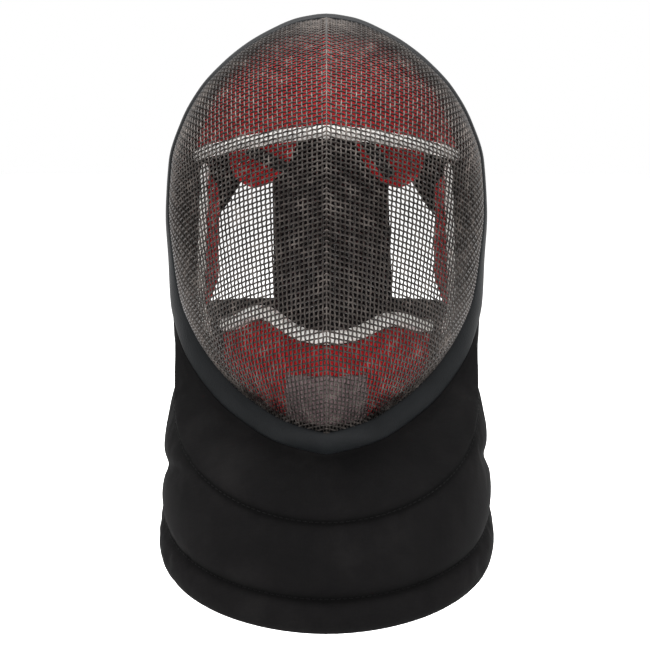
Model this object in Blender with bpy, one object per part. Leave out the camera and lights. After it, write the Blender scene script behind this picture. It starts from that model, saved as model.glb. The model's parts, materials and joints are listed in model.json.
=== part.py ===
"""Fencing mask: a wire mesh face with a padded cloth bib, a red lining, a spring tongue and a back strap.

Shapes are worked out as (across, back, up) from the nose point, the point of the mesh's centre ridge
that stands furthest forward, and then placed so that the world origin is the seat of the head under
the crown. The front of the mask faces -Y. Units are metres.
"""

import bpy
import numpy as np

# Wire mesh. Places inside the mask are shares of it: heights of its height, set-backs of its depth and
# distances across of its width.
MESH_WIDTH = 0.1985
MESH_HEIGHT = 0.254
MESH_DEPTH = 0.203
WIRE_DIAMETER = 0.00105
SECTION_POWER = 2.12
MESH_TUCK = 0.003
MESH_END_ROW = 0.0035
MESH_CLEARANCE = 0.0010

# Seat of the head, from the nose point.
SEAT_BACK = 0.68966 * MESH_DEPTH
SEAT_UP = 0.66929 * MESH_HEIGHT

# Band round the mesh.
BAND_WIDTH = 0.0135
BAND_WALL = 0.0022
BAND_CREST = 0.0004
BAND_CREST_SHARE = 0.25

# Bib.
BIB_AXIS_BACK = 0.542 * MESH_DEPTH
BIB_WIDTH = 0.198
BIB_DROP = 0.166
BIB_REAR_ANGLE = 117.0
BIB_REAR_TOP = 0.252 * MESH_HEIGHT
BIB_SEAM_WALL = 0.004
BIB_PUFF = 0.0045
BIB_INNER_PUFF = 0.5
BIB_TIER_ROWS = (3, 5, 6)

# Lining.
LINING_GAP = 0.0011
RIDGE_ROUNDING = 0.010
CROWN_PAD_WALL = 0.010
CROWN_EDGE_WALL = 0.0045
CROWN_PAD_TAPER = 0.014
CROWN_PAD_START = 0.512 * MESH_HEIGHT
CROWN_PAD_TILT = 17.0
CROWN_PAD_END = 0.75 * MESH_HEIGHT
CROWN_PAD_REACH = 0.93
CHIN_PAD_WALL = 0.009
CHIN_PAD_INSET = 0.003
CHIN_PAD_WIDTH = 0.1344
CHIN_PAD_TOP = 0.047 * MESH_HEIGHT
CHIN_HUMP_LEFT = 0.012
CHIN_HUMP_RIGHT = 0.008
CHIN_HUMP_SPREAD = 0.0165
CHIN_HUMP_ACROSS = 0.043
CHIN_PAD_MARGIN = 0.0005
SIDE_PAD_FRONT = 0.493 * MESH_DEPTH
SIDE_PAD_REAR = 0.749 * MESH_DEPTH
SIDE_PAD_LOW = 0.012 * MESH_HEIGHT
SIDE_FRONT_LEAN = 0.016
SIDE_PAD_RISE = 0.5
SIDE_PAD_TOP_GAP = 0.0021
SIDE_PAD_INSET = 0.0010
SIDE_PAD_LEAST = 0.006
SIDE_PAD_LEAN = 0.09
SIDE_PAD_ROOM = 0.147
SIDE_EDGE_WALL = 0.0035
SIDE_EDGE_SPREAD = 0.8
BINDING_WIDTH = 0.0065
CHIN_BINDING_WIDTH = 0.0085
SIDE_BINDING_WIDTH = 0.0045
BINDING_PROUD = 0.0006
LABEL_WIDTH = 0.051
LABEL_TOP = -0.065 * MESH_HEIGHT
LABEL_HEIGHT = 0.022
LABEL_WALL = 0.0008

# Rear of the crown.
REAR_ARCH_WIDTH = 0.140
REAR_ARCH_FOOT = 0.276 * MESH_HEIGHT
REAR_ARCH_RISE = 0.299 * MESH_HEIGHT
REAR_ARCH_POWER = 2.5
REAR_ARCH_BACK = 1.022 * MESH_DEPTH
REAR_ARCH_SWEEP = 0.0155
REAR_BAND_FOOT = 0.268 * MESH_HEIGHT
REAR_BAND_WALL = 0.002
REAR_BAND_BULGE = 0.001
LOBE_WALL = 0.007
LOBE_INNER = 0.019
LOBE_OUTER = 0.062
LOBE_FOOT = 0.339 * MESH_HEIGHT
LOBE_HEAD = 0.614 * MESH_HEIGHT
LOBE_ROUND = 0.020
LOBE_CORNER = 0.985
TAPE_WIDTH = 0.008
TAPE_WALL = 0.001

# Spring tongue and strap.
TONGUE_TOP_WIDTH = 0.073
TONGUE_LOW_WIDTH = 0.078
TONGUE_WALL = 0.006
TONGUE_CURVE = 0.006
TONGUE_TIP = 0.030
TONGUE_TIP_SHARE = 0.55
TONGUE_LEAN = 0.0045
TONGUE_SECTION = np.array([0.45, 0.8, 0.95, 1.0, 1.0, 1.0, 0.95, 0.8, 0.45])
STRAP_WIDTH = 0.050
STRAP_TOP = 0.063 * MESH_HEIGHT
STRAP_WALL = 0.0018
STRAP_END_ACROSS = 0.3955 * MESH_WIDTH
STRAP_END_BACK = 0.739 * MESH_DEPTH

CLEARANCE = 0.0003

# A point inside the head, from the nose point.
HEAD_CENTRE = np.array([0.0, 0.591 * MESH_DEPTH, 0.276 * MESH_HEIGHT])

# Side view of the mesh, a row for each level from the chin to the crown. Up is a share of the mesh
# height; ridge, side (the widest line) and edge (the visible border) are shares of the mesh depth
# behind the nose point; half is a share of half the mesh width.
MESH_COLUMNS = ("up", "ridge", "side", "half", "edge")
MESH_LEVELS = np.array([
    (-0.228, 0.156, 0.488, 0.403, 0.039),
    (-0.173, 0.100, 0.473, 0.443, 0.281),
    (-0.118, 0.054, 0.483, 0.574, 0.404),
    (-0.059, 0.013, 0.542, 0.715, 0.522),
    (0.000, 0.000, 0.626, 0.826, 0.606),
    (0.079, 0.015, 0.714, 0.922, 0.685),
    (0.177, 0.047, 0.744, 0.966, 0.729),
    (0.295, 0.105, 0.749, 0.994, 0.754),
    (0.413, 0.182, 0.773, 0.978, 0.778),
    (0.512, 0.274, 0.805, 0.901, 0.815),
    (0.591, 0.379, 0.845, 0.788, 0.855),
    (0.654, 0.493, 0.882, 0.640, 0.892),
    (0.701, 0.611, 0.919, 0.487, 0.926),
    (0.736, 0.741, 0.948, 0.327, 0.958),
    (0.758, 0.877, 0.975, 0.193, 0.980),
    (0.772, 0.995, 1.000, 0.010, 0.984),
])

# Downward tilt of the wires that cross the ridge, in degrees, at shares of the mesh height.
WIRE_TILTS = np.array([(-0.228, 15.0), (0.0, 19.5), (0.118, 22.0), (0.295, 27.0), (0.772, 28.0)])

# Way in which the band leaves the border, at shares of the mesh height: outward, back and down.
BAND_LIE = np.array([
    (-0.210, 0.00, 0.66, 0.86),
    (-0.187, 0.47, 0.47, 0.76),
    (-0.125, 0.55, 0.45, 0.70),
    (-0.059, 0.62, 0.50, 0.52),
    (0.047, 0.42, 0.80, 0.36),
    (0.177, 0.16, 0.97, 0.12),
    (0.354, 0.00, 1.00, 0.10),
    (0.591, 0.00, 1.00, 0.05),
    (0.772, 0.00, 1.00, -0.06),
])

# Guide curves of the bib below the band. Front is how far behind the nose point the curve passes the
# middle, as a share of the bib axis; half is a share of half the bib width; rear is the set-back
# behind the axis, as a share of it, at the rear end; front_up, side_up and rear_up are shares of the
# bib drop below the nose level; power shapes the rise from the middle to the side.
BIB_COLUMNS = ("front", "half", "rear", "front_up", "side_up", "rear_up", "power")
BIB_CURVES = {
    "upper_seam": (0.18, 0.945, 0.45, -0.616, -0.241, -0.030, 1.9),
    "lower_seam": (0.11, 1.000, 0.43, -0.881, -0.651, -0.380, 1.8),
    "hem": (0.07, 1.005, 0.42, -1.000, -0.789, -0.482, 1.9),
}

# Path of the tongue's middle line, from the crown down: set-back and height as shares of the mesh.
TONGUE_PATH = np.array([
    (0.978, 0.697),
    (0.990, 0.591),
    (1.002, 0.433),
    (1.010, 0.276),
    (1.000, 0.118),
    (0.970, -0.039),
    (0.936, -0.177),
    (0.919, -0.283),
]) * (MESH_DEPTH, MESH_HEIGHT)

# Tapes on the lobes, from their upper to their lower end: share of the lobe's width from its inner
# side, and height as a share of the mesh height.
LOBE_TAPES = {"left": ((0.72, 0.441), (0.12, 0.388)), "right": ((0.12, 0.469), (0.51, 0.370))}


def smooth(at, known, values):
    """Values at some places of a smooth curve through known points, with no overshoot between them."""
    steps = np.diff(known)
    slopes = np.diff(values) / steps
    tangents = np.zeros(len(values))
    tangents[0], tangents[-1] = slopes[0], slopes[-1]
    before, after = slopes[:-1], slopes[1:]
    turning = before * after <= 0
    total = np.where(turning, 1.0, before + after)
    tangents[1:-1] = np.where(turning, 0.0, 2 * before * after / total)
    i = np.clip(np.searchsorted(known, at) - 1, 0, len(known) - 2)
    t = (at - known[i]) / steps[i]
    start = (1 + 2 * t) * (1 - t) ** 2 * values[i] + t * (1 - t) ** 2 * steps[i] * tangents[i]
    return start + t * t * (3 - 2 * t) * values[i + 1] + t * t * (t - 1) * steps[i] * tangents[i + 1]


def mesh_level(name, up):
    """A named column of the mesh table at some heights, in metres."""
    scale = {"ridge": MESH_DEPTH, "side": MESH_DEPTH, "edge": MESH_DEPTH, "half": MESH_WIDTH / 2}
    column = MESH_LEVELS[:, MESH_COLUMNS.index(name)] * scale[name]
    return smooth(np.asarray(up, float), MESH_LEVELS[:, 0] * MESH_HEIGHT, column)


def shell_across(back, up):
    """Half-width of the mesh's outer surface at points of its side view."""
    ridge = mesh_level("ridge", up)
    run = np.maximum(mesh_level("side", up) - ridge, 1e-4)
    share = np.clip((back - ridge) / run, 0.0, 2.0)
    return mesh_level("half", up) * (1 - np.abs(1 - share) ** SECTION_POWER)


def shell_back(across, up):
    """Set-back of the mesh's outer surface at points of its front view."""
    ridge = mesh_level("ridge", up)
    share = np.clip(np.abs(across) / mesh_level("half", up), 0.0, 1.0)
    return ridge + (mesh_level("side", up) - ridge) * (1 - (1 - share) ** (1 / SECTION_POWER))


def shell_normal(back, up):
    """Unit normals of the right half of the mesh's outer surface at points of its side view."""
    step = 1e-4
    across = shell_across(back, up)
    slopes = (shell_across(back + step, up) - across) / step, (shell_across(back, up + step) - across) / step
    normal = np.stack([np.ones_like(across), -slopes[0], -slopes[1]], axis=-1)
    return normal / np.linalg.norm(normal, axis=-1, keepdims=True)


def row_line(start_up, tilt, tuck, count):
    """Points (across, back, up) of one half row of the mesh, from the ridge to the edge, evenly spaced."""
    start_back = float(mesh_level("ridge", start_up))
    slope = np.array([np.cos(np.radians(tilt)), -np.sin(np.radians(tilt))])

    def beyond(reach):
        back, up = start_back + reach * slope[0], start_up + reach * slope[1]
        return back - mesh_level("edge", up + tuck) - tuck

    low, high = 0.0, MESH_DEPTH
    for _ in range(40):
        middle = (low + high) / 2
        low, high = (low, middle) if beyond(middle) > 0 else (middle, high)
    reach = np.linspace(0.0, low, 80)
    back, up = start_back + reach * slope[0], start_up + reach * slope[1]
    line = np.stack([shell_across(back, up), back, up], axis=1)
    length = np.concatenate([[0], np.cumsum(np.linalg.norm(np.diff(line, axis=0), axis=1))])
    even = np.linspace(0, length[-1], count + 1)
    return np.stack([np.interp(even, length, line[:, k]) for k in range(3)], axis=1)


def both_sides(half_row):
    """A half row and its mirror image as one row from left to right."""
    mirrored = half_row[:0:-1] * (-1, 1, 1)
    return np.concatenate([mirrored, half_row])


def normals_of(grid):
    """Unit normals of a grid of points whose rows run from left to right and go upward."""
    along = np.gradient(grid, axis=1)
    upward = np.gradient(grid, axis=0)
    normal = np.cross(along, upward)
    return normal / np.linalg.norm(normal, axis=2, keepdims=True)


def material(name, colour, roughness, metallic=0.0):
    made = bpy.data.materials.new(name)
    made.use_nodes = True
    shader = made.node_tree.nodes["Principled BSDF"]
    shader.inputs["Base Color"].default_value = (*colour, 1.0)
    shader.inputs["Roughness"].default_value = roughness
    shader.inputs["Metallic"].default_value = metallic
    return made


def solid(name, points, faces, surface):
    """A mesh object from world points and faces that point outward."""
    mesh = bpy.data.meshes.new(name)
    mesh.from_pydata([tuple(p) for p in points], [], [tuple(int(k) for k in f) for f in faces])
    mesh.materials.append(surface)
    mesh.shade_smooth()
    mesh.set_sharp_from_angle(angle=np.radians(40))
    made = bpy.data.objects.new(name, mesh)
    bpy.context.scene.collection.objects.link(made)


def solid_between(name, front, rear, surface):
    """A closed solid between two grids of the same size, whose front grid's normals point outward."""
    rows, columns = front.shape[:2]
    points = np.concatenate([front.reshape(-1, 3), rear.reshape(-1, 3)])
    index = np.arange(rows * columns).reshape(rows, columns)
    behind = index + rows * columns
    faces = []
    for i in range(rows - 1):
        for j in range(columns - 1):
            faces.append((index[i, j], index[i, j + 1], index[i + 1, j + 1], index[i + 1, j]))
            faces.append((behind[i, j], behind[i + 1, j], behind[i + 1, j + 1], behind[i, j + 1]))
    border = np.concatenate([index[0], index[1:, -1], index[-1, -2::-1], index[-2:0:-1, 0]])
    for a, b in zip(border, np.roll(border, -1)):
        faces.append((b, a, a + rows * columns, b + rows * columns))
    solid(name, points - (0.0, SEAT_BACK, SEAT_UP), faces, surface)


def padded(name, grid, near, far, surface):
    """A pad between two depths below a grid that lies on the mesh's outer surface."""
    normal = normals_of(grid)
    return solid_between(name, grid - normal * near, grid - normal * far, surface)


def ridge_levels(low, high, count):
    """Heights between two levels of the ridge, evenly spaced along it."""
    ups = np.linspace(low, high, 300)
    length = np.concatenate([[0], np.cumsum(np.hypot(np.diff(ups), np.diff(mesh_level("ridge", ups))))])
    return np.interp(np.linspace(0, length[-1], count), length, ups)


def evenly(line, count):
    """A line of points read again at even distances."""
    length = np.concatenate([[0], np.cumsum(np.linalg.norm(np.diff(line, axis=0), axis=1))])
    even = np.linspace(0, length[-1], count)
    return np.stack([np.interp(even, length, line[:, k]) for k in range(3)], axis=1)


def mirrored(grid):
    """The mirror image of a grid, with its columns still running from left to right."""
    return grid[:, ::-1] * (-1, 1, 1)


def make_face_mesh(surface):
    low, high = MESH_LEVELS[0, 0] * MESH_HEIGHT, MESH_LEVELS[-1, 0] * MESH_HEIGHT
    starts = ridge_levels(low + MESH_END_ROW, high - MESH_END_ROW / 35, 32)
    tilts = np.interp(starts, WIRE_TILTS[:, 0] * MESH_HEIGHT, WIRE_TILTS[:, 1])
    grid = np.array([both_sides(row_line(s, t, MESH_TUCK, 11)) for s, t in zip(starts, tilts)])
    padded("face_mesh", grid, 0.0, 2 * WIRE_DIAMETER, surface)


def border_line():
    """Half of the mesh's visible border, from where it leaves the ridge at the chin to the crown."""
    ups = np.linspace(MESH_LEVELS[0, 0] * MESH_HEIGHT, MESH_LEVELS[-1, 0] * MESH_HEIGHT, 900)
    ups = ups[mesh_level("edge", ups) >= mesh_level("ridge", ups)]
    backs = mesh_level("edge", ups)
    line = np.stack([shell_across(backs, ups), backs, ups], axis=1)
    line += shell_normal(backs, ups) * MESH_CLEARANCE
    line[[0, -1], 0] = 0.0
    return line


def band_frame(count):
    """Even points of the half border, the way in which the band leaves each, and the way it faces there."""
    line = evenly(border_line(), count)
    known = BAND_LIE[:, 0] * MESH_HEIGHT
    ways = np.stack([np.interp(line[:, 2], known, BAND_LIE[:, k]) for k in (1, 2, 3)], axis=1)
    ways *= (1, 1, -1)
    ways /= np.linalg.norm(ways, axis=1, keepdims=True)
    faces = np.cross(np.gradient(line, axis=0), ways)
    faces *= np.sign(np.sum(faces * (line - HEAD_CENTRE), axis=1, keepdims=True))
    faces[[0, -1], 0] = 0.0
    return line, ways, faces / np.linalg.norm(faces, axis=1, keepdims=True)


def make_edge_band(surface):
    line, ways, faces = band_frame(33)
    crest = BAND_WALL + BAND_CREST
    section = (
        (0.0, 0.0),
        (0.0, BAND_WALL - BAND_CREST),
        (BAND_CREST_SHARE, crest),
        (1.0 - BAND_CREST_SHARE, crest),
        (1.0, BAND_WALL),
        (1.0, 0.0),
    )
    corners = np.stack([line + ways * BAND_WIDTH * along + faces * off for along, off in section], axis=1)
    corners = np.concatenate([corners, corners[-2:0:-1] * (-1, 1, 1)])
    count, sides = corners.shape[:2]
    faces_of_ring = []
    for i in range(count):
        for j in range(sides):
            here, there = i * sides, (i + 1) % count * sides
            after = (j + 1) % sides
            faces_of_ring.append((here + j, here + after, there + after, there + j))
    points = corners.reshape(-1, 3) - (0.0, SEAT_BACK, SEAT_UP)
    solid("edge_band", points, faces_of_ring, surface)


def upper_bib_edge(angles):
    """The band's outer edge, where the bib is sewn on, at some angles from the front about the bib's axis."""
    line, ways, _ = band_frame(300)
    line = (line + ways * (BAND_WIDTH + 3 * CLEARANCE))[: np.argmax(line[:, 2] > BIB_REAR_TOP)]
    turn = np.degrees(np.arctan2(line[:, 0], BIB_AXIS_BACK - line[:, 1]))
    turn = np.maximum.accumulate(turn)
    return np.stack([np.interp(angles, turn, line[:, k]) for k in range(3)], axis=1)


def bib_curve(name, angles):
    """A guide curve of the bib at some angles from the front about its axis."""
    front, half, rear, front_up, side_up, rear_up, power = BIB_CURVES[name]
    turn = np.radians(angles)
    rear_turn = np.radians(BIB_REAR_ANGLE)
    ahead = BIB_AXIS_BACK * (1 - front)
    behind = BIB_AXIS_BACK * rear / -np.cos(rear_turn)
    back = BIB_AXIS_BACK - np.where(angles < 90, ahead, behind) * np.cos(turn)
    rise = side_up - front_up
    past = np.maximum(angles - 90, 0.0)
    room = BIB_REAR_ANGLE - 90
    bend = (rear_up - side_up - rise * power * room / 90) / room**2
    up = front_up + rise * (np.minimum(angles, 90) / 90) ** power + rise * power * past / 90 + bend * past**2
    return np.stack([BIB_WIDTH / 2 * half * np.sin(turn), back, BIB_DROP * up], axis=1)


def make_bib(surface):
    angles = np.linspace(0, BIB_REAR_ANGLE, 17)
    curves = [bib_curve("hem", angles), bib_curve("lower_seam", angles)]
    curves += [bib_curve("upper_seam", angles), upper_bib_edge(angles)]
    rows, puffs = [curves[0]], [0.0]
    for tier, steps in enumerate(BIB_TIER_ROWS):
        for share in np.linspace(0, 1, steps + 1)[1:]:
            rows.append(curves[tier] * (1 - share) + curves[tier + 1] * share)
            puffs.append(np.sin(np.pi * share) ** 0.7 if share < 1 else 0.0)
    grid = np.array([both_sides(row) for row in rows])
    normal = normals_of(grid)
    puff = BIB_PUFF * np.array(puffs)[:, None, None]
    solid_between("bib", grid + normal * puff, grid - normal * (BIB_SEAM_WALL + puff * BIB_INNER_PUFF), surface)


def liner_row(start_up, tilt, reach, count):
    """A row across the inside of the mesh, rounded where it crosses the ridge."""
    line = row_line(start_up, tilt, 0.0, 80)
    line = line[: np.argmax(line[:, 0]) + 1]
    widest = line[-1, 0]
    across = np.linspace(-reach, reach, 2 * count + 1) * widest
    rounded = np.minimum(np.hypot(across, RIDGE_ROUNDING), widest)
    back = np.interp(rounded, line[:, 0], line[:, 1])
    up = np.interp(rounded, line[:, 0], line[:, 2])
    return np.stack([across, back, up], axis=1)


def bound_pad(names, grid, seam, near, wall, surfaces):
    """A pad and the binding on its edge, cut from one grid at a row, the binding a little proud."""
    normal = normals_of(grid)
    normal[seam - 1] = normal[seam]
    wall = np.broadcast_to(wall, len(grid))[:, None, None]
    for name, part, extra, surface in zip(names, (slice(seam), slice(seam, None)), (0.0, BINDING_PROUD), surfaces):
        front = grid[part] - normal[part] * (near - extra)
        solid_between(name, front, grid[part] - normal[part] * (near + wall[part] + extra), surface)


def make_crown_lining(red, white):
    tape = CROWN_PAD_START + BINDING_WIDTH * np.array([0.5, 0.1, -0.1, -0.5])
    starts = ridge_levels(CROWN_PAD_START + BINDING_WIDTH / 2 + CLEARANCE, CROWN_PAD_END, 12)[::-1]
    starts = np.concatenate([starts, tape])
    grid = np.array([liner_row(s, CROWN_PAD_TILT, CROWN_PAD_REACH, 10)[::-1] for s in starts])
    inward = np.clip((starts - CROWN_PAD_START - BINDING_WIDTH / 2) / CROWN_PAD_TAPER, 0, 1)
    wall = CROWN_EDGE_WALL + (CROWN_PAD_WALL - CROWN_EDGE_WALL) * inward
    names = ("crown_pad", "forehead_binding")
    bound_pad(names, grid, len(starts) - len(tape), 2 * WIRE_DIAMETER + LINING_GAP, wall, (red, white))


def side_strip(front, rear, columns, extra):
    """Outer and inner grids of a strip of the right side padding between two set-backs."""
    backs = np.linspace(front, rear, columns)[None, :]
    past = backs - SIDE_PAD_FRONT
    lean = SIDE_FRONT_LEAN * (1 - past / (SIDE_PAD_REAR - SIDE_PAD_FRONT))
    start_up = CROWN_PAD_START - BINDING_WIDTH / 2
    slope = np.tan(np.radians(CROWN_PAD_TILT))
    top = start_up - slope * (backs + lean - mesh_level("ridge", start_up)) - SIDE_PAD_TOP_GAP
    share = np.linspace(0, 1, 7)[:, None]
    low = SIDE_PAD_LOW + SIDE_PAD_RISE * past
    ups = low + (top - low) * share
    backs = backs + lean * share
    inset = (2 * WIRE_DIAMETER + LINING_GAP + SIDE_PAD_INSET - extra) / shell_normal(backs, ups)[..., 0]
    outer = shell_across(backs, ups) - inset
    inner = SIDE_PAD_ROOM / 2 - SIDE_PAD_LEAN * (backs - SIDE_PAD_FRONT) - extra
    inner = np.minimum(inner, outer - SIDE_PAD_LEAST)
    outer = np.minimum(outer, inner + SIDE_EDGE_WALL + SIDE_EDGE_SPREAD * np.maximum(past, 0) + 2 * extra)
    return np.stack([outer, backs, ups], axis=2), np.stack([inner, backs, ups], axis=2)


def make_side_lining(red, white):
    strips = (
        ("side_pad", SIDE_PAD_FRONT, SIDE_PAD_REAR, 8, 0.0, red),
        ("side_binding", SIDE_PAD_FRONT - SIDE_BINDING_WIDTH, SIDE_PAD_FRONT - CLEARANCE, 3, BINDING_PROUD, white),
    )
    for name, front, rear, columns, extra, surface in strips:
        outer, inner = side_strip(front, rear, columns, extra)
        solid_between(name + "_right", outer, inner, surface)
        solid_between(name + "_left", mirrored(outer), mirrored(inner), surface)


def chin_rows(low, high, across, rows):
    """A grid that follows the mesh between two heights that may change across it."""
    share = np.linspace(0, 1, rows)[:, None]
    across = np.broadcast_to(across, (rows, len(across)))
    ups = low + (high - low) * share + 0 * across
    return np.stack([across, shell_back(np.hypot(across, RIDGE_ROUNDING), ups), ups], axis=2)


def make_chin_lining(red, white, pale):
    across = np.linspace(-CHIN_PAD_WIDTH / 2, CHIN_PAD_WIDTH / 2, 29)
    border = border_line()
    border = border[border[:, 2] < 0]
    low = np.interp(np.abs(across), border[:, 0], border[:, 2]) + CHIN_PAD_MARGIN
    hump = np.exp(-(((np.abs(across) - CHIN_HUMP_ACROSS) / CHIN_HUMP_SPREAD) ** 2))
    top = CHIN_PAD_TOP + np.where(across < 0, CHIN_HUMP_LEFT, CHIN_HUMP_RIGHT) * hump
    seam = top - CHIN_BINDING_WIDTH
    pad = chin_rows(low, seam - 2 * CLEARANCE, across, 7)
    grid = np.concatenate([pad, chin_rows(seam, top, across, 4)])
    bound_pad(("chin_pad", "chin_binding"), grid, len(pad), CHIN_PAD_INSET, CHIN_PAD_WALL, (red, white))
    across = np.linspace(-LABEL_WIDTH / 2, LABEL_WIDTH / 2, 11)
    patch = chin_rows(LABEL_TOP - LABEL_HEIGHT, LABEL_TOP, across, 5)
    far = CHIN_PAD_INSET - CLEARANCE
    padded("chin_label", patch, far - LABEL_WALL, far, pale)


def tongue_back(across, up):
    """Set-back of the tongue's middle surface."""
    path = TONGUE_PATH[::-1]
    return smooth(up, path[:, 1], path[:, 0]) - TONGUE_CURVE * (across / TONGUE_TOP_WIDTH * 2) ** 2


def make_back_tongue(surface):
    low, high = TONGUE_PATH[-1, 1], TONGUE_PATH[0, 1]
    ups = low + (high - low) * np.linspace(0, 1, 26) ** 1.3
    width = np.interp(ups, [low, high], [TONGUE_LOW_WIDTH, TONGUE_TOP_WIDTH])
    tip = np.clip((ups - low) / TONGUE_TIP, 0, 1)
    width = width * (TONGUE_TIP_SHARE + (1 - TONGUE_TIP_SHARE) * np.sqrt(1 - (1 - tip) ** 2))
    lean = TONGUE_LEAN * np.clip((high - ups) / (high - STRAP_TOP), 0, 1)
    across = np.linspace(-0.5, 0.5, 9)[None, :] * width[:, None] + lean[:, None]
    rows = np.broadcast_to(ups[:, None], across.shape)
    grid = np.stack([across, tongue_back(across, rows), rows], axis=2)
    normal = normals_of(grid)
    half = np.broadcast_to(TONGUE_WALL / 2 * TONGUE_SECTION, across.shape)[..., None]
    solid_between("back_tongue", grid + normal * half, grid - normal * half, surface)


def make_back_strap(surface):
    flat = TONGUE_LOW_WIDTH / 2 + STRAP_WALL
    straight = np.linspace(0, flat, 5)
    turn = np.radians(np.linspace(0, 90, 12)[1:])
    ups = np.linspace(STRAP_TOP - STRAP_WIDTH, STRAP_TOP, 5)
    rows = []
    for up in ups:
        behind = tongue_back(straight, up) + (TONGUE_WALL + STRAP_WALL) / 2 + 2 * CLEARANCE
        across = flat + (STRAP_END_ACROSS - flat) * np.sin(turn)
        back = STRAP_END_BACK + (behind[-1] - STRAP_END_BACK) * np.cos(turn)
        half = np.stack([np.concatenate([straight, across]), np.concatenate([behind, back])], axis=1)
        rows.append(both_sides(np.column_stack([half, np.full(len(half), up)])))
    grid = np.array(rows)
    normal = normals_of(grid)
    solid_between("back_strap", grid + normal * STRAP_WALL / 2, grid - normal * STRAP_WALL / 2, surface)


def make_crown_rear_band(surface):
    line, ways, faces = band_frame(300)
    foot = np.argmax(line[:, 2] > REAR_BAND_FOOT)
    picked = np.linspace(len(line) - 1, foot, 14).astype(int)
    line, ways, faces = line[picked], ways[picked], faces[picked]
    outer = line + ways * BAND_WIDTH * 0.75 - faces * (REAR_BAND_WALL / 2 + CLEARANCE)
    turn = np.radians(np.linspace(0, 90, 14))
    arch_back = REAR_ARCH_BACK - REAR_ARCH_SWEEP * np.sin(turn) ** 2
    arch_up = REAR_ARCH_FOOT + REAR_ARCH_RISE * np.abs(np.cos(turn)) ** REAR_ARCH_POWER
    inner = np.stack([REAR_ARCH_WIDTH / 2 * np.sin(turn), arch_back, arch_up], axis=1)
    rows = []
    for share in np.linspace(0, 1, 5):
        bulge = REAR_BAND_BULGE * np.sin(np.pi * share)
        row = inner * (1 - share) + outer * share
        rows.append(both_sides(row + faces * bulge))
    grid = np.array(rows)
    wall = normals_of(grid) * REAR_BAND_WALL / 2
    solid_between("crown_rear_band", grid + wall, grid - wall, surface)


def lobe_face(across, up):
    """Set-back of the lobes' front face, which lie against the tongue."""
    return tongue_back(across, up) - TONGUE_WALL / 2 - 2 * CLEARANCE - LOBE_WALL


def make_crown_lobes(surface):
    middle, half = (LOBE_INNER + LOBE_OUTER) / 2, (LOBE_OUTER - LOBE_INNER) / 2
    share = np.linspace(-1, 1, 11)
    across = (middle + half * share)[None, :]
    foot = LOBE_FOOT + LOBE_ROUND * (1 - np.sqrt(1 - (LOBE_CORNER * share) ** 2))[None, :]
    ups = foot + (LOBE_HEAD - foot) * np.linspace(0, 1, 7)[:, None]
    across = np.broadcast_to(across, ups.shape)
    front = np.stack([across, lobe_face(across, ups), ups], axis=2)
    rear = front + (0, LOBE_WALL, 0)
    solid_between("crown_lobe_right", front, rear, surface)
    solid_between("crown_lobe_left", mirrored(front), mirrored(rear), surface)


def make_lobe_tapes(surface):
    for side, (start, end) in LOBE_TAPES.items():
        sign = {"left": -1, "right": 1}[side]
        across = [sign * (LOBE_INNER + (LOBE_OUTER - LOBE_INNER) * place[0]) for place in (start, end)]
        start = np.array([across[0], start[1] * MESH_HEIGHT])
        end = np.array([across[1], end[1] * MESH_HEIGHT])
        way = (end - start) / np.linalg.norm(end - start)
        upward = np.array([-way[1], way[0]])
        rows = []
        for off in np.linspace(-TAPE_WIDTH / 2, TAPE_WIDTH / 2, 3):
            places = start + (end - start) * np.linspace(0, 1, 6)[:, None] + upward * off
            face = lobe_face(places[:, 0], places[:, 1]) - CLEARANCE
            rows.append(np.stack([places[:, 0], face, places[:, 1]], axis=1))
        rear = np.array(rows)
        solid_between("lobe_tape_" + side, rear - (0, TAPE_WALL, 0), rear, surface)


def main():
    for existing in list(bpy.data.objects):
        bpy.data.objects.remove(existing, do_unlink=True)
    make_face_mesh(material("black_wire", (0.03, 0.03, 0.032), 0.4, 0.8))
    black_cloth = material("black_cloth", (0.012, 0.012, 0.013), 0.9)
    red_lining = material("red_lining", (0.42, 0.03, 0.04), 0.85)
    white_tape = material("white_tape", (0.75, 0.72, 0.68), 0.8)
    elastic = material("black_elastic", (0.02, 0.02, 0.022), 0.8)
    make_edge_band(material("black_band", (0.02, 0.021, 0.025), 0.6))
    make_bib(black_cloth)
    make_crown_lining(red_lining, white_tape)
    make_side_lining(red_lining, white_tape)
    make_chin_lining(red_lining, white_tape, material("label_cloth", (0.5, 0.5, 0.52), 0.7))
    make_back_tongue(material("tongue_cloth", (0.03, 0.03, 0.033), 0.85))
    make_back_strap(elastic)
    make_crown_rear_band(black_cloth)
    make_crown_lobes(red_lining)
    make_lobe_tapes(elastic)


main()
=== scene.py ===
import json

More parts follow.
